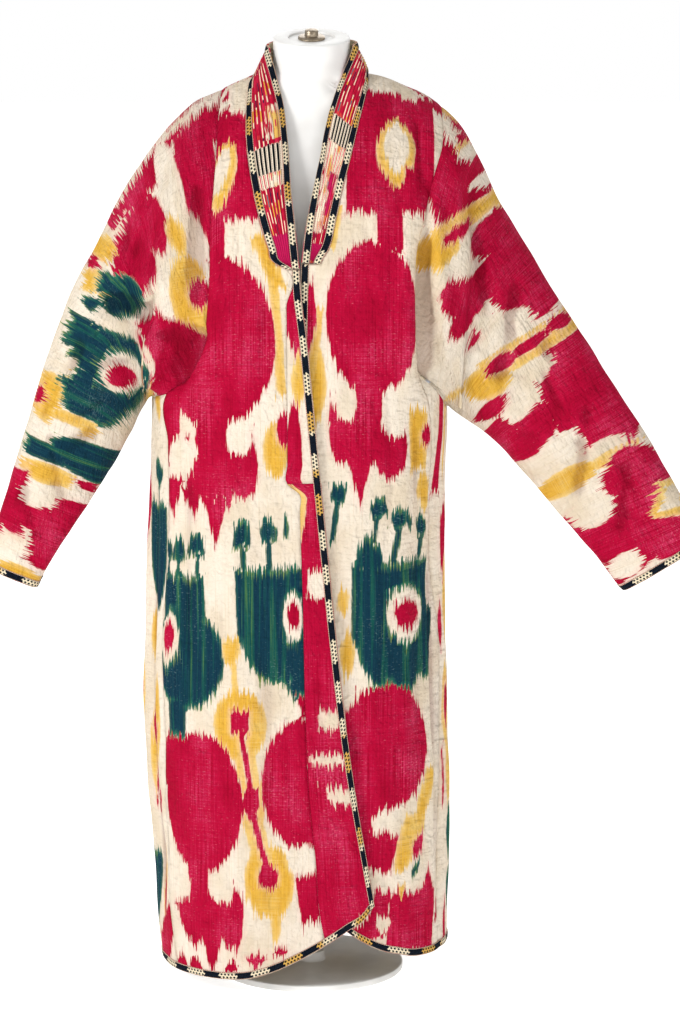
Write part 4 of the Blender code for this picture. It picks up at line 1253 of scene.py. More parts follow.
FRONT_RIGHT_DYE = (
    ("red", "block", -5.6, 1203, 64, 93, 0),
    ("cream", "block", -19, 1324, 18, 28, 1),
    ("cream", "leaf", 19, 1307, 14, 32, -21),
    ("yellow", "leaf", 0.9, 1197, 29, 55, 0),
    ("cream", "leaf", 0.9, 1203, 18, 41, 0),
    ("red", "block", -8.5, 1091, 18, 36, 0),
    ("red", "block", 35, 1143, 21, 30, 0),
    ("yellow", "block", -86, 1091, 6.9, 33, 8),
    ("red", "oval", -32, 965, 66, 108, 0),
    ("red", "block", -40, 856, 20, 31, 0),
    ("red", "oval", -76, 805, 20, 45, 0),
    ("red", "spire", -92, 836, 5.6, 20, 0),
    ("red", "block", -48, 809, 26, 48, 0),
    ("red", "oval", -6.7, 779, 25, 41, 0),
    ("red", "spire", 14, 797, 6.5, 14, 0),
    ("red", "wedge", -52, 740, 20, 39, 0),
    ("cream", "oval", -72, 846, 15, 26, 0),
    ("cream", "oval", 0.9, 825, 20, 30, 0),
    ("yellow", "leaf", -113, 865, 13, 64, 5),
    ("yellow", "block", -117, 920, 8.4, 61, 8),
    ("red", "leaf", -123, 964, 11.3, 53, 5),
    ("yellow", "block", 40, 791, 17, 43, -1),
    ("red", "leaf", 56, 796, 8.4, 19, -1),
    ("yellow", "leaf", 54, 719, 13, 31, -2),
    ("green", "block", -89, 671, 4.2, 23, 8),
    ("green", "oval", -83, 719, 11.2, 17, 0),
    ("green", "block", -87, 688, 3.6, 20, 8),
    ("green", "oval", -25, 697, 13, 17, 0),
    ("green", "block", -31, 665, 4.2, 21, 10),
    ("green", "oval", 4.6, 680, 11.3, 16, 0),
    ("green", "leaf", 21, 676, 5.2, 16, 0),
    ("green", "block", -0.1, 644, 5.1, 27, 13),
    ("green", "oval", 50, 668, 11.0, 17, -1),
    ("green", "block", 48, 633, 4.4, 20, 5),
    ("green", "block", 1.8, 561, 66, 62, 0),
    ("green", "leaf", -38, 626, 19, 37, -4),
    ("green", "bowl", 5.2, 493, 65, 66, 0),
    ("green", "oval", -38, 538, 22, 51, -8),
    ("green", "block", 6.9, 447, 18, 26, 0),
    ("green", "bowl", 63, 496, 21, 52, 1),
    ("cream", "oval", 20, 547, 34, 38, 0),
    ("red", "oval", 22, 547, 24, 21, 0),
    ("yellow", "oval", -76, 568, 8.5, 20, 0),
    ("yellow", "leaf", -70, 492, 11.6, 34, 0),
    ("red", "oval", -11.8, 357, 72, 92, 0),
    ("red", "block", -48, 283, 21, 101, -4),
    ("cream", "oval", -14, 248, 20, 19, 0),
    ("cream", "block", 12, 248, 24, 20, 12),
    ("red", "block", -14, 205, 15, 28, 15),
    ("yellow", "block", 52, 274, 11.0, 48, 21),
    ("yellow", "bowl", 21, 212, 19, 41, 22),
    ("red", "leaf", 40, 211, 8.9, 20, 21),
    ("green", "leaf", 35, 178, 6.7, 14, 27),
    ("red", "block", 32, 99, 41, 45, 6),
    ("red", "spire", 59, 150, 21, 29, 1),
    ("red", "spire", 91, 112, 16, 21, 1),
    ("yellow", "leaf", 11.9, 152, 6.4, 8.8, 0),
    ("red", "block", -20, 129, 13, 20, 13),
    ("red", "block", -43, 91, 29, 18, -27),
    ("cream", "leaf", -17, 100, 11.1, 14, 22),
)
INSET_UPPER_DYE = (
    ("red", "bell", -3.1, 995, 16, 83, -22),
    ("yellow", "leaf", 16, 879, 11.0, 39, 0),
    ("red", "bell", 9.3, 786, 12, 61, 0),
)
INSET_LOWER_DYE = (
    ("red", "block", 21, 401, 87, 356, 1),
    ("yellow", "bud", -7.2, 691, 21, 50, 0),
    ("cream", "bud", -14, 695, 15, 39, 0),
    ("cream", "oval", 21, 593, 14, 21, 2),
    ("cream", "block", 40, 401, 21, 13, 1),
    ("cream", "block", 32, 343, 28, 7.1, 2),
    ("cream", "block", 56, 289, 28, 10.1, 6),
    ("cream", "leaf", 69, 104, 31, 14, -44),
)
GORE_LEFT_DYE = (
    ("yellow", "leaf", 60, 853, 11.5, 47, -25),
    ("green", "leaf", 75, 738, 14, 24, -3),
    ("green", "block", 73, 701, 4.1, 20, -2),
    ("green", "bowl", 72, 617, 30, 80, -2),
    ("yellow", "leaf", 62, 497, 14, 49, -9),
    ("yellow", "leaf", 68, 360, 21, 93, 11),
    ("red", "leaf", 64, 378, 8.0, 28, 10),
    ("red", "block", 65, 316, 2.8, 64, 13),
    ("red", "oval", 71, 263, 10.3, 26, 21),
    ("yellow", "leaf", 68, 147, 11.5, 62, 7),
    ("red", "leaf", 66, 132, 6.9, 45, 3),
    ("red", "oval", 67, 60, 21, 62, 26),
)
SLEEVE_LEFT_DYE = (
    ("red", "block", 30, 52, 43, 59, -73),
    ("red", "block", 112, 73, 28, 89, -119),
    ("red", "block", 158, 110, 11.1, 68, -118),
    ("red", "leaf", 7.8, 50, 9.9, 47, -52),
    ("cream", "leaf", 50, 33, 5.9, 24, -75),
    ("cream", "leaf", 27, 45, 5.9, 24, -76),
    ("cream", "leaf", 9.9, 58, 7.3, 21, -75),
    ("cream", "leaf", 69, 23, 9.1, 20, -70),
    ("red", "oval", 238, 41, 37, 72, -102),
    ("red", "block", 150, 14, 16, 48, -78),
    ("red", "leaf", 97, 20, 5.8, 39, -70),
    ("red", "block", 204, -4.7, 10.3, 32, -69),
    ("cream", "bud", 157, 56, 24, 78, -128),
    ("cream", "leaf", 197, 108, 14, 46, -134),
    ("cream", "block", 273, 121, 33, 56, -119),
    ("yellow", "leaf", 205, 82, 13, 33, -131),
    ("yellow", "oval", 275, 130, 27, 59, -120),
    ("yellow", "block", 290, 152, 13, 44, -118),
    ("red", "oval", 267, 141, 14, 22, -112),
    ("red", "oval", 375, 149, 51, 72, -137),
    ("red", "block", 341, 111, 20, 31, -151),
    ("red", "block", 369, 178, 26, 49, -112),
    ("yellow", "oval", 266, -10.0, 18, 23, 171),
    ("yellow", "block", 313, 0.4, 17, 20, 175),
    ("red", "oval", 290, -15, 11.6, 9.1, -117),
    ("green", "leaf", 343, 6.9, 9.9, 20, 176),
    ("green", "oval", 432, 61, 72, 63, -179),
    ("green", "block", 387, 9.4, 24, 26, 177),
    ("cream", "block", 353, 45, 11.4, 25, 179),
    ("green", "oval", 315, 41, 31, 32, 178),
    ("green", "block", 307, 18, 16, 16, 177),
    ("cream", "leaf", 438, 5.1, 13, 17, 176),
    ("cream", "oval", 416, 81, 28, 32, -179),
    ("red", "oval", 420, 84, 16, 22, -178),
    ("yellow", "oval", 490, -4.6, 35, 24, 172),
    ("red", "oval", 493, -16, 12.0, 10.0, 162),
    ("yellow", "block", 505, 41, 8.6, 31, -180),
    ("yellow", "oval", 509, 67, 13, 13, -178),
    ("green", "bell", 552, 77, 28, 56, -176),
    ("green", "block", 563, 24, 13, 34, 178),
    ("yellow", "oval", 592, 35, 15, 43, 177),
    ("red", "leaf", 588, 96, 5.9, 20, -169),
    ("red", "oval", 670, 85, 57, 38, -166),
    ("red", "block", 657, 36, 20, 31, 180),
    ("red", "block", 650, 0.8, 46, 23, 162),
    ("cream", "oval", 629, 30, 16, 23, 179),
    ("cream", "wedge", 709, 35, 21, 28, 179),
    ("yellow", "oval", 742, 50, 13, 34, -177),
    ("red", "oval", 755, 61, 5.9, 11.3, -173),
    ("cream", "leaf", 373, 103, 7.7, 36, -137),
    ("red", "leaf", 365, 93, 3.6, 20, -132),
    ("yellow", "leaf", 432, 129, 5.6, 30, -99),
)
SLEEVE_RIGHT_DYE = (
    ("red", "block", 96, 37, 48, 58, -108),
    ("red", "block", 53, 53, 13, 89, -127),
    ("cream", "leaf", 133, 116, 8.4, 47, -122),
    ("red", "leaf", -4.1, 8.4, 8.7, 25, -76),
    ("red", "block", 25, -0.7, 13, 29, -71),
    ("cream", "leaf", -21, 19, 10.0, 23, -71),
    ("cream", "leaf", 29, 17, 8.6, 33, -98),
    ("yellow", "leaf", 8.7, 8.4, 4.3, 26, -71),
    ("cream", "oval", 72, 10.6, 11.3, 19, 173),
    ("yellow", "leaf", 60, 13, 4.2, 17, 175),
    ("cream", "leaf", 117, 11.7, 10.1, 22, 171),
    ("cream", "oval", 225, 146, 28, 56, -141),
    ("yellow", "oval", 161, 117, 23, 38, -169),
    ("yellow", "block", 149, 56, 14, 58, 178),
    ("cream", "block", 163, 51, 7.2, 36, -179),
    ("yellow", "block", 150, 40, 8.7, 47, -170),
    ("red", "oval", 156, 81, 8.5, 28, -178),
    ("red", "oval", 242, 29, 82, 65, 175),
    ("red", "wedge", 187, 46, 23, 36, -165),
    ("red", "oval", 236, 120, 32, 36, 177),
    ("red", "block", 238, 88, 23, 28, 178),
    ("red", "oval", 266, 141, 13, 30, -152),
    ("red", "leaf", 291, 130, 7.2, 31, -152),
    ("cream", "leaf", 208, 93, 10.2, 28, -179),
    ("cream", "oval", 284, 115, 14, 19, 179),
    ("cream", "oval", 310, 91, 23, 42, 179),
    ("red", "oval", 450, 36, 95, 71, 176),
    ("red", "oval", 449, 155, 38, 60, -176),
    ("cream", "oval", 384, 100, 19, 42, -172),
    ("cream", "oval", 410, 129, 19, 34, -165),
    ("yellow", "oval", 360, 155, 25, 37, -179),
    ("yellow", "block", 348, 78, 19, 78, 179),
    ("yellow", "leaf", 352, 202, 6.1, 26, -178),
    ("red", "oval", 347, 127, 11.5, 25, -176),
    ("red", "leaf", 346, 77, 7.9, 50, -178),
    ("red", "leaf", 344, 25, 10.0, 26, 174),
    ("red", "leaf", 396, 169, 11.7, 35, -168),
    ("cream", "oval", 500, 116, 25, 37, -179),
    ("cream", "leaf", 529, 64, 13, 42, 176),
    ("yellow", "oval", 543, 135, 19, 48, 180),
    ("yellow", "leaf", 545, 61, 10.1, 57, 176),
    ("red", "oval", 631, 49, 87, 62, 178),
    ("red", "block", 662, 139, 51, 53, -171),
    ("red", "leaf", 604, 151, 18, 38, -169),
    ("cream", "oval", 597, 125, 26, 34, -176),
    ("yellow", "diamond", 644, 18, 33, 44, -168),
    ("cream", "diamond", 645, 16, 18, 28, -169),
    ("cream", "oval", 692, 122, 18, 26, -175),
)


# Patches of the collar, by rib and by mm along it from its left end: plain, barred and pale ones.
COLLAR_DYE = (
    ("red", "block", 3, 24, 9, 28, 0),
    ("yellow", "block", 2.6, 158, 5, 20, 0),
    ("green", "block", 3, 128, 9, 10, 0),
    ("green", "block", 5.4, 210, 1.2, 26, 0),
    ("yellow", "block", 3, 722, 5, 19, 0),
    ("green", "block", 3.4, 775, 3.4, 34, 0),
    ("red", "block", 2.2, 812, 1.2, 30, 0),
    ("green", "block", 4.5, 838, 2.2, 30, 0),
    ("red", "block", 3, 894, 9, 12, 0),
    ("yellow", "block", 3, 470, 5, 18, 0),
    ("green", "block", 3, 408, 4, 30, 0),
    ("green", "block", 2, 560, 3, 34, 0),
)


def build_net():
    net = Net()
    left, right = front_left(), front_right()
    back_l, back_r = back_panel(-1), back_panel(1)
    net.add("front_left", left)
    net.add("strip_left", front_strip(-1))
    net.add("strip_right", front_strip(1))
    net.add("front_right", right)
    net.add("back_left", back_l)
    net.add("back_right", back_r)
    net.add("gore_left", gore(-1))
    net.add("gore_right", gore(1))
    net.add("sleeve_left", sleeve(-1))
    net.add("sleeve_right", sleeve(1))
    net.add("collar", collar(left, back_l, back_r, right))
    net.weld()
    net.move_out(fold_field)
    net.move_out(crease_field)
    net.points += net.normals() * ripple(net.points)[:, None]
    return net


def body_places(net, side):
    """Cloth places of one body length: its front, and its back carried on over the shoulder."""
    word = "left" if side < 0 else "right"
    line = -100.0 if side < 0 else 120.0
    front = net.grids["front_" + word]
    back = net.grids["back_" + word]
    front_u, front_v = across_from(front, line), up_from_floor(front)
    back_u, back_v = across_from(back, line), up_from_floor(back)
    if side < 0:
        shared = slice(-COLUMNS_LEFT * ACROSS - 1, None)
        top = front_v[-1][::-1]
        neck = top[0]
    else:
        shared = slice(0, COLUMNS_RIGHT * ACROSS + 1)
        top = front_v[-1][::-1]
        neck = top[-1]
    crest = np.full(back.shape[1], neck)
    crest[shared] = top
    level = 2 * neck - back_v
    slip = crest - level[-1]
    down = back_v[-1:] - back_v
    back_v = level + slip * ease(1 - down / 420)
    return np.stack([front_u, front_v], -1), np.stack([back_u, back_v], -1)


def gore_places(net, side):
    grid = net.grids["gore_left" if side < 0 else "gore_right"]
    run = lengths(grid, 1)
    middle = run[:, grid.shape[1] // 2][:, None]
    return np.stack([(run - middle) * (1 if side < 0 else 1), grid[..., 2]], -1)


def sleeve_places(net, side):
    """Places on a sleeve pressed flat: along it, and down from its outer fold. Front and back share them."""
    grid = net.grids["sleeve_left" if side < 0 else "sleeve_right"]
    top = grid.shape[1] // 2
    way = np.array((-0.38, -0.925) if side < 0 else (0.527, -0.85))
    down = np.array((-way[1], way[0]) if side < 0 else (way[1], -way[0]))
    spots = grid[..., [0, 2]]
    return np.stack([spots @ way - spots[0, top] @ way, spots @ down - spots[-1, top] @ down], -1)


# How far the warp of a sleeve is turned towards upright, in degrees, by how far out its ring is in mm.
WARP_TURN = {
    -1: ((200, 235, 265, 290, 320), (60, 48, 20, 5, 0)),
    1: ((200, 230, 300, 450), (42, 14, 0, -8)),
}


def sleeve_threads(net, side):
    """How a sleeve's threads lie, and the direction of its warp, which fans out from the underarm."""
    grid = net.grids["sleeve_left" if side < 0 else "sleeve_right"]
    flat = sleeve_places(net, side)
    top = grid.shape[1] // 2
    run = lengths(grid, 1)
    around = run[:, top : top + 1] - run
    out = np.abs(grid[:, top, 0] + (grid[:, 0, 0] + grid[:, -1, 0]) / 2) / 2
    turn = np.radians(np.interp(out, *WARP_TURN[side]))[:, None] + 0 * around
    turn = soften(turn, 12)
    across_threads = flat[..., 0] - np.tan(turn) * flat[..., 1]
    warp = np.stack([np.sin(turn), np.cos(turn)], -1)
    return np.stack([across_threads, around], -1), warp


def strip_places(net, side):
    grid = net.grids["strip_left" if side < 0 else "strip_right"]
    return np.stack([lengths(grid, 1), up_from_floor(grid)], -1)


def lay(net, name, places, motifs, edges, threads=None):
    """One patch of a shell: points with their seams pressed in, normals, places and dye."""
    ids = net.index[name]
    points, normals = net.points[ids], NORMALS[ids]
    out = edge_dip(points, edges)
    points = draw_in(points + normals * out[..., None], edges)
    if threads is None:
        return (points, normals, places, *dyed(places, motifs))
    lie, warp = threads
    return (points, normals, lie, *dyed(places, motifs, warp))


class Wire:
    """A number in a material, so that its sums read as sums."""

    def __init__(self, paint, socket):
        self.paint = paint
        self.socket = socket

    def __add__(self, other):
        return self.paint.maths("ADD", self, other)

    def __sub__(self, other):
        return self.paint.maths("SUBTRACT", self, other)

    def __mul__(self, other):
        return self.paint.maths("MULTIPLY", self, other)

    def __truediv__(self, other):
        return self.paint.maths("DIVIDE", self, other)

    def __pow__(self, other):
        return self.paint.maths("POWER", self, other)

    def __radd__(self, other):
        return self.paint.maths("ADD", other, self)

    def __rsub__(self, other):
        return self.paint.maths("SUBTRACT", other, self)

    def __rmul__(self, other):
        return self.paint.maths("MULTIPLY", other, self)

    def __rtruediv__(self, other):
        return self.paint.maths("DIVIDE", other, self)

    def __neg__(self):
        return self.paint.maths("MULTIPLY", self, -1.0)

    def __abs__(self):
        return self.paint.maths("ABSOLUTE", self)


class Paint:
    """One material and the few ways in which its nodes are made."""

    def __init__(self, name, rough=0.8, sheen=0.0, metallic=0.0, gloss=0.06):
        self.material = bpy.data.materials.new(name)
        self.material.use_nodes = True
        self.tree = self.material.node_tree
        self.shader = self.tree.nodes["Principled BSDF"]
        self.shader.inputs["Roughness"].default_value = rough
        self.shader.inputs["Metallic"].default_value = metallic
        self.shader.inputs["Sheen Weight"].default_value = sheen
        self.shader.inputs["Sheen Roughness"].default_value = 0.5
        self.shader.inputs["Specular IOR Level"].default_value = gloss

    def node(self, kind, settings=None, inputs=None):
        made = self.tree.nodes.new(kind)
        for key, value in (settings or {}).items():
            setattr(made, key, value)
        for key, value in (inputs or {}).items():
            self.join(value, made.inputs[key])
        return made

    def join(self, value, socket):
        if isinstance(value, Wire):
            value = value.socket
        if isinstance(value, bpy.types.NodeSocket):
            self.tree.links.new(value, socket)
        else:
            socket.default_value = value

    def maths(self, kind, *values, clamp=False):
        inputs = dict(enumerate(values))
        made = self.node("ShaderNodeMath", {"operation": kind, "use_clamp": clamp}, inputs)
        return Wire(self, made.outputs[0])

    def clamp(self, value):
        return self.maths("ADD", value, 0.0, clamp=True)

    def step(self, value, low, high):
        """0 below low, 1 above high and soft between."""
        settings = {"interpolation_type": "SMOOTHSTEP"}
        inputs = {"Value": value, "From Min": low, "From Max": high}
        return Wire(self, self.node("ShaderNodeMapRange", settings, inputs).outputs[0])

    def vector(self, x, y, z=0.0):
        made = self.node("ShaderNodeCombineXYZ", {}, {"X": x, "Y": y, "Z": z})
        return made.outputs[0]

    def parts(self, vector):
        made = self.node("ShaderNodeSeparateXYZ", {}, {"Vector": vector})
        return [Wire(self, out) for out in made.outputs]

    def place(self):
        """The cloth's own coordinates in mm: across the warp, and along it."""
        made = self.node("ShaderNodeUVMap", {"uv_map": "cloth"})
        u, v, _ = self.parts(made.outputs[0])
        return u * 1000.0, v * 1000.0

    def solid_place(self):
        made = self.node("ShaderNodeTexCoord")
        return [part * 1000.0 for part in self.parts(made.outputs["Object"])]

    def attribute(self, name):
        return self.parts(self.node("ShaderNodeAttribute", {"attribute_name": name}).outputs[1])

    def noise(self, x, y, z=0.0, detail=2.0, rough=0.5):
        inputs = {"Vector": self.vector(x, y, z), "Scale": 1.0, "Detail": detail, "Roughness": rough}
        return Wire(self, self.node("ShaderNodeTexNoise", {}, inputs).outputs[0])

    def mix(self, share, first, second, blend="MIX"):
        made = self.node("ShaderNodeMix", {"data_type": "RGBA", "blend_type": blend})
        self.join(share, made.inputs[0])
        self.join(first, made.inputs[6])
        self.join(second, made.inputs[7])
        return made.outputs[2]

    def colour(self, value):
        self.join(value, self.shader.inputs["Base Color"])

    def rough(self, value):
        self.join(value, self.shader.inputs["Roughness"])

    def bump(self, height, distance, strength=1.0):
        """Height in units of distance, which is in metres."""
        inputs = {"Height": height, "Distance": distance, "Strength": strength}
        made = self.node("ShaderNodeBump", {}, inputs)
        self.join(made.outputs[0], self.shader.inputs["Normal"])


def rgb(red, green, blue):
    """A colour as it looks on a screen, 0 to 255, for a material."""
    parts = [value / 255 for value in (red, green, blue)]
    return [p / 12.92 if p <= 0.04045 else ((p + 0.055) / 1.055) ** 2.4 for p in parts] + [1.0]


def weave(paint, u, v, across, along):
    """Plain weave's threads, as a height from 0 to 1, at this many mm a thread."""
    warp = paint.maths("SINE", u * (math.tau / across))
    weft = paint.maths("SINE", v * (math.tau / along))
    return (abs(warp) * 0.6 + abs(weft) * 0.4) * 0.8


def crumple(paint, x, y, scale=1.0):
    """Soft dents with crisp little ridges between them, in mm."""
    broad = paint.noise(x * 0.02 * scale, y * 0.014 * scale, 7.0, detail=2.0)
    first = paint.noise(x * 0.05 * scale, y * 0.03 * scale, 17.0, detail=2.0, rough=0.55)
    second = paint.noise(x * 0.028 * scale, y * 0.07 * scale, 27.0, detail=2.0, rough=0.5)
    fine = paint.noise(x * 0.2 * scale, y * 0.13 * scale, 37.0, detail=3.0, rough=0.6)
    ridges = abs(first - 0.5) * -7.0 + abs(second - 0.5) * -5.0
    return broad * 5.0 + ridges + fine * 1.3


def ikat_cloth():
    """Warp-dyed cloth: colours shift along the warp from thread to thread, and each is a little uneven. Its
    colour is darkened with painted shade where the cloth lies deep in a fold.
    """
    paint = Paint("ikat_cloth", rough=0.85)
    u, v = paint.place()
    red, yellow, green = paint.attribute("dye")
    red_run, yellow_run, green_run = paint.attribute("run")
    bundles = paint.noise(u * 0.3, v * 0.005, 3.1, detail=1.0) - 0.5
    threads = paint.noise(u * 0.62, v * 0.012, 8.7, detail=2.0, rough=0.7) - 0.5
    slip = bundles * 34.0 + threads * 40.0
    edge = (paint.noise(u * 0.5, v * 0.1, 1.3, detail=2.0) - 0.5) * 3.0
    red_at = red + slip * red_run + edge
    yellow_at = yellow + slip * yellow_run + edge * 1.4
    green_at = green + slip * green_run + edge
    share_red = paint.step(red_at, 0.9, -0.9)
    share_yellow = paint.step(yellow_at, 1.6, -1.8)
    share_green = paint.step(green_at, 1.0, -1.2)

    streak = paint.noise(u * 0.8, v * 0.008, 5.0, detail=3.0, rough=0.6)
    weft = paint.noise(u * 0.012, v * 0.7, 2.0, detail=2.0)
    cloudy = paint.noise(u * 0.014, v * 0.008, 9.0, detail=3.0, rough=0.6)
    grain = paint.noise(u * 0.8, v * 0.8, 4.0, detail=2.0)
    slubs = paint.noise(u * 0.22, v * 0.5, 6.0, detail=2.0)
    worn = paint.step(slubs + cloudy * 0.5, 0.86, 1.02)
    pale = paint.step(streak * 0.4 + weft * 0.25 + cloudy * 0.55, 0.58, 0.78)
    cream = paint.mix(paint.step(cloudy, 0.35, 0.7), rgb(226, 214, 197), rgb(212, 196, 172))
    cream = paint.mix(paint.step(streak, 0.5, 0.72) * 0.5, cream, rgb(202, 182, 150))
    cream = paint.mix(paint.step(grain, 0.58, 0.8) * 0.4, cream, rgb(192, 170, 142))
    cream = paint.mix(paint.step(slubs, 0.68, 0.8) * 0.4, cream, rgb(178, 146, 112))
    red_dye = paint.mix(pale, rgb(172, 5, 50), rgb(192, 46, 86))
    red_dye = paint.mix(paint.step(streak, 0.52, 0.3) * 0.8, red_dye, rgb(140, 0, 32))
    red_dye = paint.mix(paint.step(cloudy, 0.5, 0.3) * 0.5, red_dye, rgb(146, 0, 34))
    red_dye = paint.mix(worn * 0.35, red_dye, rgb(220, 120, 140))
    yellow_dye = paint.mix(paint.step(streak, 0.35, 0.7), rgb(216, 170, 66), rgb(196, 142, 40))
    yellow_dye = paint.mix(pale * 0.7, yellow_dye, rgb(224, 196, 124))
    yellow_dye = paint.mix(paint.step(yellow_at, -9.0, 0.0) * 0.45, yellow_dye, rgb(226, 200, 140))
    tint = paint.noise(u * 0.12, v * 0.003, 6.0, detail=2.0)
    green_dye = paint.mix(paint.step(tint, 0.48, 0.62), rgb(14, 50, 66), rgb(20, 76, 70))
    green_dye = paint.mix(paint.step(streak, 0.55, 0.74) * 0.55, green_dye, rgb(40, 96, 96))
    mossy = paint.step(tint * 0.5 + streak * 0.5, 0.56, 0.66) * 0.7
    green_dye = paint.mix(mossy, green_dye, rgb(84, 122, 60))
    green_dye = paint.mix(paint.step(streak, 0.45, 0.28) * 0.7, green_dye, rgb(8, 28, 46))
    fringe = paint.step(green_at + abs(green_run) * 8.0 - 8.0, -14.0, -1.0)
    green_dye = paint.mix(fringe * 0.75, green_dye, rgb(44, 112, 84))
    green_dye = paint.mix(fringe * paint.step(threads, 0.02, 0.14) * 0.8, green_dye, rgb(140, 152, 72))
    green_dye = paint.mix(worn * 0.35, green_dye, rgb(120, 150, 150))
    colour = paint.mix(share_yellow, cream, yellow_dye)
    colour = paint.mix(share_green, colour, green_dye)
    colour = paint.mix(share_red, colour, red_dye)
    bled = paint.step(red_at, 9.0, 0.0) * (1.0 - share_red) * (1.0 - share_green) * 0.16
    colour = paint.mix(bled, colour, rgb(226, 150, 150))
    # Painted shade: the colour is multiplied darker where the cloth lies deep in a fold.
    fold = paint.attribute("fold")[0]
    colour = paint.mix(paint.step(fold, 0.0, 3.0) * 0.6, colour, rgb(184, 164, 166), "MULTIPLY")
    paint.colour(colour)
    slub = paint.noise(u * 0.1, v * 1.1, 3.0, detail=1.0)
    height = weave(paint, u, v, 0.9, 1.1) * 0.1 + crumple(paint, u, v) + slub * 0.25
    paint.bump(height, 0.0018, 0.9)
    return paint.material


def lining_cloth():
    paint = Paint("lining", rough=0.86)
    u, v = paint.place()
    grain = paint.noise(u * 0.6, v * 0.6, 2.0, detail=3.0)
    patch = paint.noise(u * 0.02, v * 0.011, 5.0, detail=1.0)
    colour = paint.mix(paint.step(grain, 0.3, 0.7), rgb(222, 208, 180), rgb(205, 188, 156))
    colour = paint.mix(paint.step(patch, 0.6, 0.63), colour, rgb(150, 112, 88))
    colour = paint.mix(paint.step(patch, 0.4, 0.37), colour, rgb(168, 172, 182))
    paint.colour(colour)
    paint.bump(weave(paint, u, v, 1.0, 1.0) * 0.2 + grain * 0.3, 0.001, 0.5)
    return paint.material


def collar_cloth():
    """Ribs along the collar, a coloured line down each, with painted shade towards the grooves between them. U
    counts ribs, v is mm along, the dye the patch.
    """
    paint = Paint("collar_cloth", rough=0.85)
    rib, v = paint.place()
    plain, barred, pale = paint.attribute("dye")
    which = paint.maths("FLOOR", rib)
    inside = paint.maths("FRACT", rib)
    jag = (paint.noise(rib * 3.0, v * 0.05, 8.0, detail=2.0) - 0.5) * 9.0
    is_plain = paint.step(plain + jag, 0.6, -0.6)
    is_barred = paint.step(barred + jag, 0.6, -0.6)
    is_pale = paint.step(pale + jag, 0.6, -0.6)
    runs = paint.noise(which * 7.31, v * 0.028, 1.0, detail=1.0)
    more = paint.noise(which * 5.17, v * 0.034, 14.0, detail=1.0)
    fine = paint.noise(rib * 9.0, v * 0.12, 4.0, detail=3.0)
    tone = paint.noise(which * 3.1, v * 0.02, 44.0, detail=2.0)
    ground = paint.mix(paint.step(tone, 0.4, 0.62), rgb(172, 6, 44), rgb(198, 32, 66))
    ground = paint.mix(paint.step(fine, 0.55, 0.75) * 0.6, ground, rgb(214, 84, 100))
    ground = paint.mix(paint.step(more, 0.62, 0.66) * 0.6, ground, rgb(206, 74, 56))
    sand = paint.mix(paint.step(tone, 0.5, 0.6), rgb(232, 216, 192), rgb(222, 180, 92))
    ground = paint.mix(is_pale, ground, sand)
    ground = paint.mix(is_plain, ground, paint.mix(fine, rgb(170, 8, 66), rgb(196, 34, 94)))
    ground = paint.mix(is_barred, ground, rgb(230, 216, 194))
    wide = 0.14 + is_barred * 0.12 + (fine - 0.5) * 0.06
    line = paint.step(abs(inside - 0.5) - wide, 0.03, -0.03)
    thread_dye = paint.mix(paint.step(runs, 0.6, 0.62), rgb(234, 214, 184), rgb(216, 166, 66))
    thread_dye = paint.mix(paint.step(more, 0.42, 0.4), thread_dye, rgb(26, 34, 58))
    thread_dye = paint.mix(paint.step(more, 0.63, 0.65), thread_dye, rgb(20, 110, 122))
    there = paint.step(runs, 0.44, 0.47) * (1.0 - is_plain)
    thread_dye = paint.mix(is_pale, thread_dye, rgb(196, 44, 76))
    thread_dye = paint.mix(is_barred, thread_dye, rgb(14, 16, 18))
    colour = paint.mix(line * paint.maths("MAXIMUM", there, is_barred), ground, thread_dye)
    # Painted shade: each rib is darkened towards its edges, in the grooves between ribs, except on barred
    # patches.
    groove_shade = paint.step(abs(inside - 0.5), 0.36, 0.5)
    colour = paint.mix(groove_shade * 0.4 * (1.0 - is_barred), colour, rgb(110, 6, 40))
    paint.colour(colour)
    paint.bump(fine * 0.5 + crumple(paint, rib * 6.0, v, 2.0) * 0.35, 0.001, 0.8)
    return paint.material


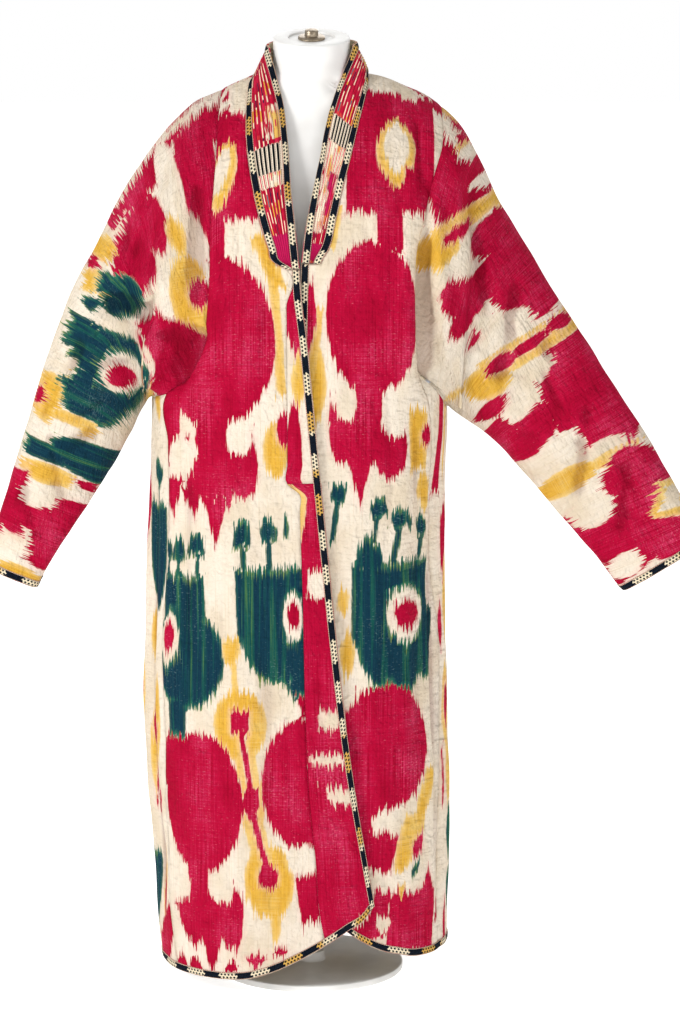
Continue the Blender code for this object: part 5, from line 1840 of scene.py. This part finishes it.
def braid_cloth():
    """Flat woven braid: plain near-black lengths and lattice ones in turn. U is mm along, v runs across."""
    paint = Paint("braid", rough=0.85)
    along, across = paint.place()
    off = across - 5.7
    wander = paint.noise(along * 0.004, 0.0, 3.0, detail=0.0) * 1.1
    turn = paint.maths("FRACT", along / 54.0 + wander)
    tip = 0.3 - abs(off) * 0.016
    lattice = paint.step(abs(turn - 0.5) - tip, 0.008, -0.008)
    tone = paint.noise(along * 0.5, across * 0.5)
    dark = paint.mix(paint.step(tone, 0.35, 0.7), rgb(8, 10, 16), rgb(20, 30, 44))
    field = paint.noise(along * 0.011, 1.0, 6.0, detail=0.0)
    light = paint.mix(paint.step(field, 0.5, 0.54), rgb(226, 212, 182), rgb(206, 162, 82))
    right_one = paint.step(off, -0.05, 0.05)
    row = paint.maths("FRACT", along / 5.4 + right_one * 0.5) - 0.5
    lozenge = abs(row) / 0.4 + abs(abs(off) - 2.05) / 1.75
    dots = paint.step(lozenge, 1.12, 0.9)
    pips = abs(paint.maths("FRACT", along / 2.7) - 0.5) / 0.5 + abs(abs(off) - 4.3) / 0.9
    starred = paint.mix(paint.maths("MAXIMUM", dots, paint.step(pips, 1.0, 0.8)), light, dark)
    colour = paint.mix(lattice, dark, starred)
    edge = paint.step(abs(off), 4.35, 4.55)
    twist = paint.step(paint.maths("SINE", along * 1.9 + off * 2.0), -0.4, 0.4)
    rim = paint.mix(twist, rgb(190, 96, 100), rgb(222, 204, 180))
    colour = paint.mix(edge, colour, rim)
    outer = paint.step(abs(off), 5.0, 5.2)
    colour = paint.mix(outer, colour, rgb(120, 16, 40))
    paint.colour(colour)
    ribs = paint.maths("SINE", along * 5.2) * 0.5 + paint.maths("SINE", across * 4.6) * 0.5
    paint.bump(ribs * 0.35 + dots * 0.3 - edge * 0.4, 0.001, 0.7)
    return paint.material


def form_paint(name, base, shade, rough, fine=0.4):
    paint = Paint(name, rough=rough, gloss=0.4)
    x, y, z = paint.solid_place()
    grain = paint.noise(x * fine, y * fine, z * fine, detail=3.0)
    wear = paint.noise(x * 0.02, y * 0.02, z * 0.02, detail=2.0)
    colour = paint.mix(paint.step(wear, 0.3, 0.75), base, shade)
    paint.colour(colour)
    paint.rough(rough + (grain - 0.5) * 0.12)
    paint.bump(grain * 0.12, 0.001, 0.4)
    return paint.material


def turned_steel():
    paint = Paint("form_metal", rough=0.32, metallic=1.0, gloss=0.5)
    x, y, z = paint.solid_place()
    rings = paint.noise(z * 3.0, 0.0, 1.0, detail=2.0)
    worn = paint.noise(x * 0.3, y * 0.3, z * 0.3, detail=2.0)
    paint.colour(paint.mix(worn, rgb(188, 176, 158), rgb(132, 112, 88)))
    paint.rough(0.26 + rings * 0.2)
    paint.bump(rings, 0.0003, 0.5)
    return paint.material


def thread(name, base, shade):
    paint = Paint(name, rough=0.7, sheen=0.15)
    x, y, z = paint.solid_place()
    ply = paint.noise(x * 1.5, y * 1.5, z * 1.5, detail=1.0)
    paint.colour(paint.mix(ply, base, shade))
    return paint.material


def robe_pieces(net, ikat, lining):
    """The robe's cloth, each length one sheet where it is cut so."""
    made = {}
    for side, word in ((-1, "left"), (1, "right")):
        front, back = body_places(net, side)
        if side < 0:
            front_edges, back_edges = ("first", "last"), ("first", "last")
        else:
            front_edges, back_edges = ("last",), ("first", "last")
        tab = LEFT_TOP_DYE + FRONT_LEFT_DYE if side < 0 else RIGHT_TOP_DYE + FRONT_RIGHT_DYE
        patches = [lay(net, "front_" + word, front, tab, front_edges)]
        if side > 0:
            strip = net.grids["strip_right"]
            start = front[: strip.shape[0], 0, 0][:, None]
            run = lengths(strip, 1)
            u = start - (run[:, -1:] - run)
            places = np.stack([u, front[: strip.shape[0], :1, 1] + 0 * u], -1)
            patches.append(lay(net, "strip_right", places, tab, ()))
        patches.append(lay(net, "back_" + word, back, back_dye(side), back_edges))
        made["length_" + word] = shell("length_" + word, patches, ikat, lining, merge=True)
        name = "gore_" + word
        tab = GORE_LEFT_DYE + GORE_LEFT_MORE if side < 0 else GORE_RIGHT_DYE
        edges = ("first", "last", "high")
        patch = lay(net, name, gore_places(net, side), tab, edges)
        made[name] = shell(name + "_cloth", [patch], ikat, lining)
        name = "sleeve_" + word
        tab = SLEEVE_LEFT_DYE if side < 0 else SLEEVE_RIGHT_DYE
        places = sleeve_places(net, side)
        threads = sleeve_threads(net, side)
        patch = lay(net, name, places, tab, ("low",), threads)
        made[name] = shell(name + "_cloth", [patch], ikat, lining)
    places = strip_places(net, -1)
    row = WAIST_ROW * DOWN
    for name, rows, tab, edges in (
        ("inset_lower", slice(0, row + 1), INSET_LOWER_DYE, ("first", "high")),
        ("inset_upper", slice(row, None), INSET_UPPER_DYE, ("first", "low")),
    ):
        ids = net.index["strip_left"][rows]
        points, normals = net.points[ids], NORMALS[ids]
        out = edge_dip(points, edges)
        points = draw_in(points + normals * out[..., None], edges)
        depth, run = dyed(places[rows], tab)
        patch = (points, normals, places[rows], depth, run)
        made[name] = shell(name + "_cloth", [patch], ikat, lining)
    return made


def disc(u, v, size=1.0, up=1):
    """A red disc with the lobed figure that hangs from it."""
    rows = [
        ("red", "oval", 0, 0, 76, 110, 0),
        ("red", "block", 0, -124 * up, 20, 30, 0),
        ("red", "oval", 0, -172 * up, 48, 38, 0),
        ("red", "oval", -34, -160 * up, 15, 40, 0),
        ("red", "oval", 34, -160 * up, 15, 40, 0),
        ("red", "wedge" if up > 0 else "spire", 0, -226 * up, 20, 34, 0),
        ("cream", "oval", -34, -122 * up, 18, 24, 0),
        ("cream", "oval", 34, -122 * up, 18, 24, 0),
    ]
    return [(d, s, u + a * size, v + b * size, w * size, h * size, t) for d, s, a, b, w, h, t in rows]


def comb(u, v, up=1, eye=0):
    """A deep green comb with knobs on its teeth and an eye on one side."""
    rows = [("green", "bowl" if up > 0 else "bell", 0, 0, 46, 86, 0)]
    rows.append(("green", "block", 0, -96 * up, 14, 30, 0))
    for k, a in enumerate((-32, -6, 22, 40)):
        rows.append(("green", "block", a, 104 * up, 3.4, 28, 0))
        rows.append(("green", "bell" if up > 0 else "bowl", a, (138 + 6 * (k % 2)) * up, 9, 17, 0))
    if eye:
        rows.append(("cream", "oval", 28 * eye, 10 * up, 20, 34, 0))
        rows.append(("red", "oval", 29 * eye, 10 * up, 13, 20, 0))
    return [(d, s, u + a, v + b, w, h, t) for d, s, a, b, w, h, t in rows]


def pendant(u, v, up=1):
    """A yellow pendant of three beads with a red core."""
    rows = [
        ("yellow", "oval", 0, 96 * up, 36, 50, 0),
        ("yellow", "block", 0, 0, 13, 100, 0),
        ("yellow", "oval", 0, 0, 19, 36, 0),
        ("yellow", "oval", 0, -104 * up, 33, 52, 0),
        ("red", "block", 0, 0, 3.6, 100, 0),
        ("red", "oval", 0, 100 * up, 12, 15, 0),
        ("red", "oval", 0, 0, 11, 23, 0),
        ("red", "oval", 0, -100 * up, 13, 19, 0),
    ]
    return [(d, s, u + a, v + b, w, h, t) for d, s, a, b, w, h, t in rows]


# The shoulders, where fronts and backs are one cloth.
LEFT_TOP_DYE = (
    ("red", "block", 0, 1352, 40, 66, 0),
    ("cream", "leaf", 6, 1336, 9, 34, 14),
    ("cream", "leaf", -18, 1322, 5, 26, 12),
    ("cream", "leaf", 26, 1372, 6, 24, -10),
)
RIGHT_TOP_DYE = (
    ("red", "block", 16, 1362, 8, 56, -24),
    ("red", "block", 62, 1330, 18, 60, 0),
    ("cream", "leaf", 44, 1326, 6, 30, -26),
)


def back_dye(side):
    """The same figures go on down the back, upside down, because each length is one strip."""
    top = 1372.0 if side < 0 else 1376.0
    lean_in = 1 if side < 0 else -1
    rows = list(LEFT_TOP_DYE if side < 0 else RIGHT_TOP_DYE)
    rows += [("red", "block", -6 * lean_in, top + 84, 62, 92, 0)]
    rows += [("yellow", "drop", -20 * lean_in, top + 96, 24, 48, 0)]
    rows += [("cream", "drop", -20 * lean_in, top + 94, 13, 32, 0)]
    rows += disc(-24 * lean_in, top + 330, up=-1)
    rows += comb(76 * lean_in, top + 300, up=-1)
    rows += pendant(72 * lean_in, top + 560, up=-1)
    rows += comb(-46 * lean_in, top + 690, up=-1, eye=-lean_in)
    rows += disc(66 * lean_in, top + 830, up=-1)
    rows += disc(-56 * lean_in, top + 930, up=-1)
    rows += pendant(8 * lean_in, top + 1010, up=-1)
    rows += comb(100 * lean_in, top + 1120, up=-1)
    rows += comb(-40 * lean_in, top + 1225, up=-1)
    return tuple(rows)


GORE_RIGHT_DYE = (
    ("red", "block", -72, 800, 9, 90, 0),
    ("yellow", "leaf", -52, 800, 5, 90, 0),
    ("red", "leaf", -48, 640, 8, 60, 0),
    ("yellow", "leaf", -42, 560, 7, 74, 0),
    ("red", "leaf", -55, 520, 4, 40, 0),
    ("yellow", "leaf", -46, 400, 8, 70, 0),
    ("red", "leaf", -45, 404, 4, 34, 0),
    ("red", "block", -56, 300, 2, 44, 0),
    ("yellow", "leaf", -44, 300, 6, 60, 0),
    ("green", "leaf", -42, 212, 6, 50, 0),
    ("green", "leaf", -40, 130, 7, 40, 0),
    ("red", "spire", -52, 92, 8, 36, 0),
    ("red", "oval", 6, 690, 26, 76, 0),
    ("green", "bowl", 36, 520, 26, 70, 0),
    ("yellow", "oval", -4, 430, 14, 44, 0),
    ("red", "oval", -4, 430, 6, 22, 0),
    ("red", "oval", 26, 300, 30, 84, 0),
    ("green", "bowl", 0, 150, 22, 60, 0),
    ("yellow", "leaf", 50, 640, 10, 60, 0),
    ("red", "leaf", 50, 150, 12, 60, 0),
)
GORE_LEFT_MORE = (
    ("red", "oval", 10, 700, 30, 76, 0),
    ("green", "bowl", -30, 520, 34, 70, 0),
    ("yellow", "oval", 20, 430, 16, 44, 0),
    ("red", "oval", 20, 430, 7, 22, 0),
    ("red", "oval", -24, 290, 36, 84, 0),
    ("green", "bowl", 26, 130, 26, 56, 0),
    ("yellow", "leaf", -64, 640, 12, 60, 0),
    ("red", "leaf", -62, 140, 16, 60, 0),
)


# Each braid runs along one side of its cloth; across it the profile rises from both edges.
BRAID_ACROSS = (0.35, 0.9, 2.2, 3.9, 5.6, 7.3, 9.0, 10.4, 11.0)
BRAID_MIDDLE = 5.7
BRAID_HALF = 5.35
BRAID_LOW = 0.2


def band(points, normals, edge, offsets):
    """Points and normals at these distances in from one side of a grid, turned as the grid is."""
    turns = {
        "first": lambda g: g,
        "last": lambda g: g[:, ::-1],
        "low": lambda g: g.transpose(1, 0, 2),
        "high": lambda g: g[::-1].transpose(1, 0, 2),
    }
    backs = {
        "first": lambda g: g,
        "last": lambda g: g[:, ::-1],
        "low": lambda g: g.transpose(1, 0, 2),
        "high": lambda g: g.transpose(1, 0, 2)[::-1],
    }
    p, n = turns[edge](points), turns[edge](normals)
    run = lengths(p, 1)
    offsets = np.asarray(offsets)
    out_p = np.empty((len(p), len(offsets), 3))
    out_n = np.empty_like(out_p)
    for i in range(len(p)):
        for k in range(3):
            out_p[i, :, k] = np.interp(offsets, run[i], p[i, :, k])
            out_n[i, :, k] = np.interp(offsets, run[i], n[i, :, k])
    middle = out_p[:, len(offsets) // 2]
    along = lengths(middle[:, None], 0)
    places = np.stack(np.broadcast_arrays(along, offsets[None, :]), -1)
    places = backs[edge](np.concatenate([places, places[..., :1]], -1))[..., :2]
    return backs[edge](out_p), backs[edge](out_n), places


def shorten(patch, start, end):
    """A band's ends cut back by these many mm. Its columns run along it."""
    points, normals, places = patch
    run = places[0, :, 0]
    low, high = run[0] + start, run[-1] - end
    keep = (run > low + 0.5) & (run < high - 0.5)
    at = np.concatenate([[low], run[keep], [high]])
    out = []
    for grid in (points, normals, places):
        cut = np.empty((len(grid), len(at), grid.shape[2]))
        for i in range(len(grid)):
            for k in range(grid.shape[2]):
                cut[i, :, k] = np.interp(at, run, grid[i, :, k])
        out.append(cut)
    return out


def braid(name, patch, material):
    points, normals, places = patch
    w = np.abs(places[..., 1] - BRAID_MIDDLE) / BRAID_HALF
    high = BRAID_LOW + BRAID_HIGH * (1 - np.clip(w, 0, 1) ** 5) * 0.8 + 0.1
    top = points + normals * high[..., None]
    thick = (high - BRAID_LOW).reshape(-1)
    dye = np.zeros(top.shape)
    made = (top, normals, places, dye, dye)
    return shell(name, [made], material, material, np.tile(thick, 1)[:, None], merge=False)


def panel_grid(net, name):
    ids = net.index[name]
    return net.points[ids], NORMALS[ids]


def hem_grid(net, names):
    grids = [panel_grid(net, name) for name in names]
    deep = 3 * DOWN
    points = np.concatenate([grids[0][0][:deep]] + [g[0][:deep, 1:] for g in grids[1:]], 1)
    normals = np.concatenate([grids[0][1][:deep]] + [g[1][:deep, 1:] for g in grids[1:]], 1)
    return points, normals


def braids(net, material):
    out = {}
    for name, panel, edge in (
        ("trim_edge_left", "strip_left", "last"),
        ("trim_edge_right", "strip_right", "first"),
        ("trim_collar_inner", "collar", "last"),
        ("trim_collar_outer", "collar", "first"),
        ("trim_cuff_left", "sleeve_left", "high"),
        ("trim_cuff_right", "sleeve_right", "high"),
    ):
        points, normals = panel_grid(net, panel)
        out[name] = braid(name + "_braid", band(points, normals, edge, BRAID_ACROSS), material)
    hems = {
        "trim_hem_left": (("back_left", "gore_left", "front_left", "strip_left"), 0.3, 11.7),
        "trim_hem_right": (("strip_right", "front_right", "gore_right", "back_right"), 11.7, 0.3),
    }
    for name, (panels, start, end) in hems.items():
        points, normals = hem_grid(net, panels)
        patch = shorten(band(points, normals, "low", BRAID_ACROSS), start, end)
        out[name] = braid(name + "_braid", patch, material)
    return out


def stitch_tree(name, material):
    """Short threads laid end to end along every line of a mesh, a gap between each two."""
    tree = bpy.data.node_groups.new(name, "GeometryNodeTree")
    face = tree.interface
    face.new_socket("Lines", in_out="INPUT", socket_type="NodeSocketGeometry")
    face.new_socket("Pitch", in_out="INPUT", socket_type="NodeSocketFloat")
    face.new_socket("Length", in_out="INPUT", socket_type="NodeSocketFloat")
    face.new_socket("Radius", in_out="INPUT", socket_type="NodeSocketFloat")
    face.new_socket("Seed", in_out="INPUT", socket_type="NodeSocketInt")
    face.new_socket("Stitches", in_out="OUTPUT", socket_type="NodeSocketGeometry")

    def node(kind, settings=None, inputs=None):
        made = tree.nodes.new(kind)
        for key, value in (settings or {}).items():
            setattr(made, key, value)
        for key, value in (inputs or {}).items():
            if isinstance(value, bpy.types.NodeSocket):
                tree.links.new(value, made.inputs[key])
            else:
                made.inputs[key].default_value = value
        return made

    given = node("NodeGroupInput").outputs
    curve = node("GeometryNodeMeshToCurve", {}, {"Mesh": given["Lines"]}).outputs[0]
    pitch = {"Curve": curve, "Length": given["Pitch"]}
    spaced = node("GeometryNodeResampleCurve", {"mode": "LENGTH"}, pitch)
    thread_line = node(
        "GeometryNodeMeshCylinder",
        {"fill_type": "TRIANGLE_FAN"},
        {"Vertices": 6, "Side Segments": 1, "Radius": given["Radius"], "Depth": given["Length"]},
    ).outputs["Mesh"]
    tangent = node("GeometryNodeInputTangent").outputs[0]
    wobble = node(
        "FunctionNodeRandomValue",
        {"data_type": "FLOAT_VECTOR"},
        {0: (-0.12, -0.12, -0.12), 1: (0.12, 0.12, 0.12), "Seed": given["Seed"]},
    ).outputs[0]
    lean = node("ShaderNodeVectorMath", {"operation": "ADD"}, {0: tangent, 1: wobble}).outputs[0]
    turn = node("FunctionNodeAlignRotationToVector", {"axis": "Z"}, {"Vector": lean}).outputs[0]
    set_down = node(
        "GeometryNodeInstanceOnPoints",
        {},
        {"Points": spaced.outputs[0], "Instance": thread_line, "Rotation": turn},
    ).outputs[0]
    real = node("GeometryNodeRealizeInstances", {}, {"Geometry": set_down}).outputs[0]
    dressed = node("GeometryNodeSetMaterial", {}, {"Geometry": real, "Material": material})
    out = node("NodeGroupOutput")
    tree.links.new(dressed.outputs[0], out.inputs["Stitches"])
    return tree


def stitches(name, paths, material, pitch, length, radius, seed):
    """One mesh of running stitches along paths given in mm."""
    points, edges = [], []
    for path in paths:
        start = len(points)
        points += [Vector(p) / 1000 for p in path]
        edges += [(start + k, start + k + 1) for k in range(len(path) - 1)]
    mesh = bpy.data.meshes.new(name + "_lines")
    mesh.from_pydata(points, edges, [])
    holder = bpy.data.objects.new(name + "_lines", mesh)
    bpy.context.scene.collection.objects.link(holder)
    tree = stitch_tree(name + "_tree", material)
    modifier = holder.modifiers.new("stitches", "NODES")
    modifier.node_group = tree
    given = {"Pitch": pitch / 1000, "Length": length / 1000, "Radius": radius / 1000, "Seed": seed}
    for item in tree.interface.items_tree:
        if item.item_type == "SOCKET" and item.in_out == "INPUT" and item.name in given:
            modifier[item.identifier] = given[item.name]
    graph = bpy.context.evaluated_depsgraph_get()
    made = bpy.data.meshes.new_from_object(holder.evaluated_get(graph))
    made.name = name
    obj = bpy.data.objects.new(name, made)
    bpy.context.scene.collection.objects.link(obj)
    bpy.data.objects.remove(holder)
    return obj


def turned(name, profile, material, centre=(0.0, 0.0), slope=0.0, count=96):
    """A turned piece from (radius, height) pairs, closed at both ends. Slope tips its level rings."""
    angle = np.arange(count) / count * math.tau
    points = []
    for radius, z in profile:
        y = radius * np.sin(angle)
        ring = [centre[0] + radius * np.cos(angle), centre[1] + y, z + slope * y]
        points.append(np.stack(ring, -1))
    return ring_mesh(name, np.array(points), material)


def ring_mesh(name, rings, material, sharp=0.6):
    count = rings.shape[1]
    points = rings.reshape(-1, 3)
    ids = np.arange(len(points)).reshape(-1, count)
    nxt = np.roll(ids, -1, axis=1)
    cells = np.stack([ids[:-1], nxt[:-1], nxt[1:], ids[1:]], -1).reshape(-1, 4).tolist()
    faces = cells + [ids[0][::-1].tolist(), ids[-1].tolist()]
    obj = mesh_object(name, points, faces, [material])
    obj.data.set_sharp_from_angle(angle=sharp)
    return obj


FORM_ROUND = 128
REST_GAP = 0.8


def form_trunk(net, material):
    """The trunk: rings from the table, drawn in where the cloth rests on it, with the neck's sloped top."""
    angle = np.arange(FORM_ROUND) / FORM_ROUND * math.tau
    cosine, sine = np.cos(angle), np.sin(angle)
    heights = np.concatenate([[700, 702, 706, 712], np.arange(718, 1200, 8), np.arange(1200, 1325, 4)])
    rings = []
    for z in heights:
        left, right, front, back, power = [look(FORM, c, z) for c in list(FORM)[1:]]
        x = (left + right) / 2 + (right - left) / 2 * np.sign(cosine) * np.abs(cosine) ** (2 / power)
        depth = np.where(sine < 0, -front, back)
        y = depth * np.sign(sine) * np.abs(sine) ** (2 / power)
        rings.append(np.stack([x, y, z + 0 * x], -1))
    rim = [(NECK_RADIUS, -8), (NECK_RADIUS, -3), (NECK_RADIUS - 0.4, -1.5), (NECK_RADIUS - 1.5, -0.4)]
    rim += [(NECK_RADIUS - 3, 0), (NECK_RECESS + 1, 0), (NECK_RECESS + 0.3, -0.3)]
    rim += [(NECK_RECESS, -1), (NECK_RECESS, -3)]
    for radius, down in rim:
        y = radius * sine
        x = NECK_CENTRE[0] + radius * cosine
        rings.append(np.stack([x, NECK_CENTRE[1] + y, NECK_TOP + down + NECK_SLOPE * y], -1))
    points = np.concatenate(rings)
    inner = net.points - NORMALS * CLOTH_THICK
    tree = BVHTree.FromPolygons([Vector(p) for p in inner], net.quads.tolist())
    body = int((heights < 1292).sum()) * FORM_ROUND
    for _ in range(8):
        push = np.zeros_like(points)
        for k in range(body):
            at = Vector(points[k])
            near, normal, _, away = tree.find_nearest(at)
            depth = (at - near).dot(normal)
            if -depth < REST_GAP and away < 12 and abs(depth) >= 0.5 * away:
                push[k] = -np.array(normal) * (depth + REST_GAP)
        push = push.reshape(-1, FORM_ROUND, 3)
        for _ in range(2):
            around = (np.roll(push, 1, 1) + np.roll(push, -1, 1)) / 2
            up = (np.roll(push, 1, 0) + np.roll(push, -1, 0)) / 2
            soft = (around + up) / 2
            more = np.linalg.norm(soft, axis=2) > np.linalg.norm(push, axis=2)
            push = np.where(more[..., None], soft, push)
        points += push.reshape(-1, 3)
    return ring_mesh("form_trunk", points.reshape(-1, FORM_ROUND, 3), material)


def collar_piece(net, outside, inside):
    """The collar: six ribs side by side, each between two lines of stitching."""
    ids = net.index["collar"]
    points, normals = net.points[ids], NORMALS[ids]
    count = COLLAR_RIBS * RIB_CELLS
    columns = np.arange(points.shape[1])
    rib = (columns - ACROSS) / RIB_CELLS
    run = lengths(points, 0).mean(1)
    places = np.stack(np.broadcast_arrays(rib[None, :], run[:, None]), -1)
    inside_ribs = (columns >= ACROSS) & (columns <= ACROSS + count)
    rise = np.where(inside_ribs, RIB_HIGH * np.abs(np.sin(rib * math.pi)) ** 0.7, 0)
    points = draw_in(points + normals * rise[None, :, None], ("first", "low", "high"))
    depth, run_dye = dyed(places, COLLAR_DYE)
    patch = (points, normals, places, depth, run_dye)
    return shell("collar_cloth", [patch], outside, inside)


def collar_lines(net):
    ids = net.index["collar"]
    points, normals = net.points[ids], NORMALS[ids]
    at = [ACROSS + k * RIB_CELLS for k in range(COLLAR_RIBS + 1)]
    return [points[:, k] + normals[:, k] * 0.25 for k in at]


def braid_lines(net):
    """Lines of stitching just inside both sides of each braid."""
    out = []
    for panel, edge in (
        ("strip_left", "last"),
        ("strip_right", "first"),
        ("collar", "last"),
        ("collar", "first"),
    ):
        points, normals = panel_grid(net, panel)
        p, n, _ = band(points, normals, edge, (1.0, 10.3))
        lifted = p + n * (BRAID_LOW + BRAID_HIGH * 0.62)
        out += [lifted[:, 0], lifted[:, 1]]
    for panel in ("sleeve_left", "sleeve_right"):
        points, normals = panel_grid(net, panel)
        p, n, _ = band(points, normals, "high", (1.0, 10.3))
        lifted = p + n * (BRAID_LOW + BRAID_HIGH * 0.62)
        out += [lifted[0], lifted[1]]
    for panels, start, end in (
        (("back_left", "gore_left", "front_left", "strip_left"), 0.6, 12.2),
        (("strip_right", "front_right", "gore_right", "back_right"), 12.2, 0.6),
    ):
        points, normals = hem_grid(net, panels)
        p, n, _ = shorten(band(points, normals, "low", (1.0, 10.3)), start, end)
        lifted = p + n * (BRAID_LOW + BRAID_HIGH * 0.62)
        out += [lifted[0], lifted[1]]
    return out


def clear_start():
    for obj in list(bpy.data.objects):
        if obj.name in ("Cube", "Light", "Camera"):
            bpy.data.objects.remove(obj)


def soft_light(name, place, aim, size, watts):
    light = bpy.data.lights.new(name, "AREA")
    light.shape = "RECTANGLE"
    light.size, light.size_y = size
    light.energy = watts
    obj = bpy.data.objects.new(name, light)
    bpy.context.scene.collection.objects.link(obj)
    obj.location = place
    obj.rotation_euler = (Vector(aim) - Vector(place)).to_track_quat("-Z", "Y").to_euler()


def studio():
    scene = bpy.context.scene
    scene.view_settings.view_transform = "Standard"
    world = bpy.data.worlds.new("pale_room")
    world.use_nodes = True
    nodes, links = world.node_tree.nodes, world.node_tree.links
    room = nodes["Background"]
    room.inputs[0].default_value = (1, 1, 1, 1)
    room.inputs[1].default_value = ROOM_LIGHT
    seen = nodes.new("ShaderNodeBackground")
    seen.inputs[0].default_value = (1, 1, 1, 1)
    rays = nodes.new("ShaderNodeLightPath")
    both = nodes.new("ShaderNodeMixShader")
    links.new(rays.outputs["Is Camera Ray"], both.inputs[0])
    links.new(room.outputs[0], both.inputs[1])
    links.new(seen.outputs[0], both.inputs[2])
    links.new(both.outputs[0], nodes["World Output"].inputs[0])
    scene.world = world
    mesh = bpy.data.meshes.new("floor")
    mesh.from_pydata([(-30, -20, 0), (30, -20, 0), (30, 60, 0), (-30, 60, 0)], [], [(0, 1, 2, 3)])
    paper = Paint("floor_paper", rough=0.95)
    paper.colour((0.9, 0.9, 0.9, 1))
    paper.shader.inputs["Emission Color"].default_value = (1, 1, 1, 1)
    paper.shader.inputs["Emission Strength"].default_value = FLOOR_GLOW
    mesh.materials.append(paper.material)
    floor = bpy.data.objects.new("floor", mesh)
    scene.collection.objects.link(floor)
    soft_light("key_light", (-3.3, -2.7, 3.3), (0, 0, 0.75), (1.3, 1.3), 135)
    soft_light("fill_light", (3.0, -3.2, 2.2), (0, 0, 0.7), (2.6, 2.6), 22)
    soft_light("back_light", (0.6, 3.4, 3.2), (0, 0, 0.8), (3.0, 2.0), 40)
    soft_light("low_light", (0.5, -3.6, 0.35), (0, 0, 0.1), (2.4, 0.6), 14)
    lens = bpy.data.cameras.new("camera")
    lens.lens = CAMERA_LENS
    lens.sensor_width = 36.0
    lens.clip_end = 200
    camera = bpy.data.objects.new("camera", lens)
    scene.collection.objects.link(camera)
    camera.location = CAMERA_PLACE
    aim = Vector(CAMERA_AIM) - Vector(CAMERA_PLACE)
    camera.rotation_euler = aim.to_track_quat("-Z", "Y").to_euler()
    scene.camera = camera


ROOM_LIGHT = 0.5
FLOOR_GLOW = 0.8
CAMERA_PLACE = (0.043, -4.5, 1.35)
CAMERA_AIM = (0.043, 0.0, 0.6757)
CAMERA_LENS = 111.8

clear_start()
net = build_net()
NORMALS = net.normals()
ikat, lining = ikat_cloth(), lining_cloth()
cloth = robe_pieces(net, ikat, lining)
cloth["collar"] = collar_piece(net, collar_cloth(), lining)
trims = braids(net, braid_cloth())
cream_thread = thread("cream_thread", rgb(228, 214, 190), rgb(204, 184, 152))
dark_thread = thread("wine_thread", rgb(112, 20, 46), rgb(84, 12, 34))
sewing = [
    stitches("collar_stitches", collar_lines(net), dark_thread, 3.4, 2.3, 0.22, 3),
    stitches("braid_stitches", braid_lines(net), cream_thread, 3.0, 2.0, 0.2, 5),
]
satin = form_paint("form_satin", rgb(238, 237, 234), rgb(226, 224, 220), 0.42)
stand_white = form_paint("stand_enamel", rgb(234, 233, 230), rgb(220, 219, 215), 0.3)
trunk = form_trunk(net, satin)
low = NECK_TOP - 3 + 0.4
cap = turned(
    "neck_knob",
    (
        (18.6, low),
        (19, low + 0.4),
        (19, low + 2.6),
        (18.4, low + 3.2),
        (17.2, low + 3.9),
        (10.2, low + 4.3),
        (9.5, low + 5),
        (9.5, low + 10.6),
        (9.1, low + 11.8),
        (8, low + 12.5),
    ),
    turned_steel(),
    NECK_CENTRE,
    NECK_SLOPE,
)
pole = turned("stand_pole", ((13, 24.6), (13, 699.6)), stand_white)
base = turned(
    "stand_base",
    (
        (134, 0),
        (135, 1),
        (135, 7.8),
        (134.6, 8.8),
        (133.4, 9.6),
        (131, 10),
        (24.5, 10.5),
        (22, 11),
        (20.6, 12.5),
        (20, 15),
        (20, 23.3),
        (19.2, 24.3),
    ),
    stand_white,
)

STANDS_FOR = {
    "length_left": ("front_left", "back_left"),
    "length_right": ("front_right", "back_right"),
    "gore_left": ("gore_left_front", "gore_left_back"),
    "gore_right": ("gore_right_front", "gore_right_back"),
    "sleeve_left": ("sleeve_left",),
    "sleeve_right": ("sleeve_right",),
    "inset_lower": ("inset_lower",),
    "inset_upper": ("inset_upper",),
    "collar": ("collar",),
}
for key, nodes in STANDS_FOR.items():
    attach(cloth[key], "root")
    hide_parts(*nodes)
for key, obj in trims.items():
    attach(obj, "root")
    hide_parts(key)
for obj, node in ((trunk, "form_body"), (cap, "form_cap"), (pole, "form_pole"), (base, "form_base")):
    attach(obj, "root")
    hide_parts(node)
for obj in sewing:
    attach(obj, "root")

# How each cloth was cut before it was sewn: width and length, then area, in metres, and what is sewn on it.
CUTS = {
    "length_left": (0.275, 2.68, 0.462, ("trim_hem_left",), ()),
    "length_right": (0.29, 2.66, 0.498, ("trim_hem_right", "trim_edge_right"), (sewing[1],)),
    "gore_left": (0.205, 0.832, 0.154, (), ()),
    "gore_right": (0.27, 0.842, 0.111, (), ()),
    "sleeve_left": (0.68, 0.612, 0.306, ("trim_cuff_left",), ()),
    "sleeve_right": (0.64, 0.615, 0.306, ("trim_cuff_right",), ()),
    "inset_lower": (0.092, 0.66, 0.0362, ("trim_edge_left",), ()),
    "inset_upper": (0.05, 0.3, 0.0099, (), ()),
    "collar": (0.062, 0.91, 0.0468, ("trim_collar_inner", "trim_collar_outer"), (sewing[0],)),
}
for key, (wide, long, area, edges, seams) in CUTS.items():
    on_it = [trims[name] for name in edges] + list(seams)
    "collar_cloth" if key == "collar" else "ikat_cloth"
studio()
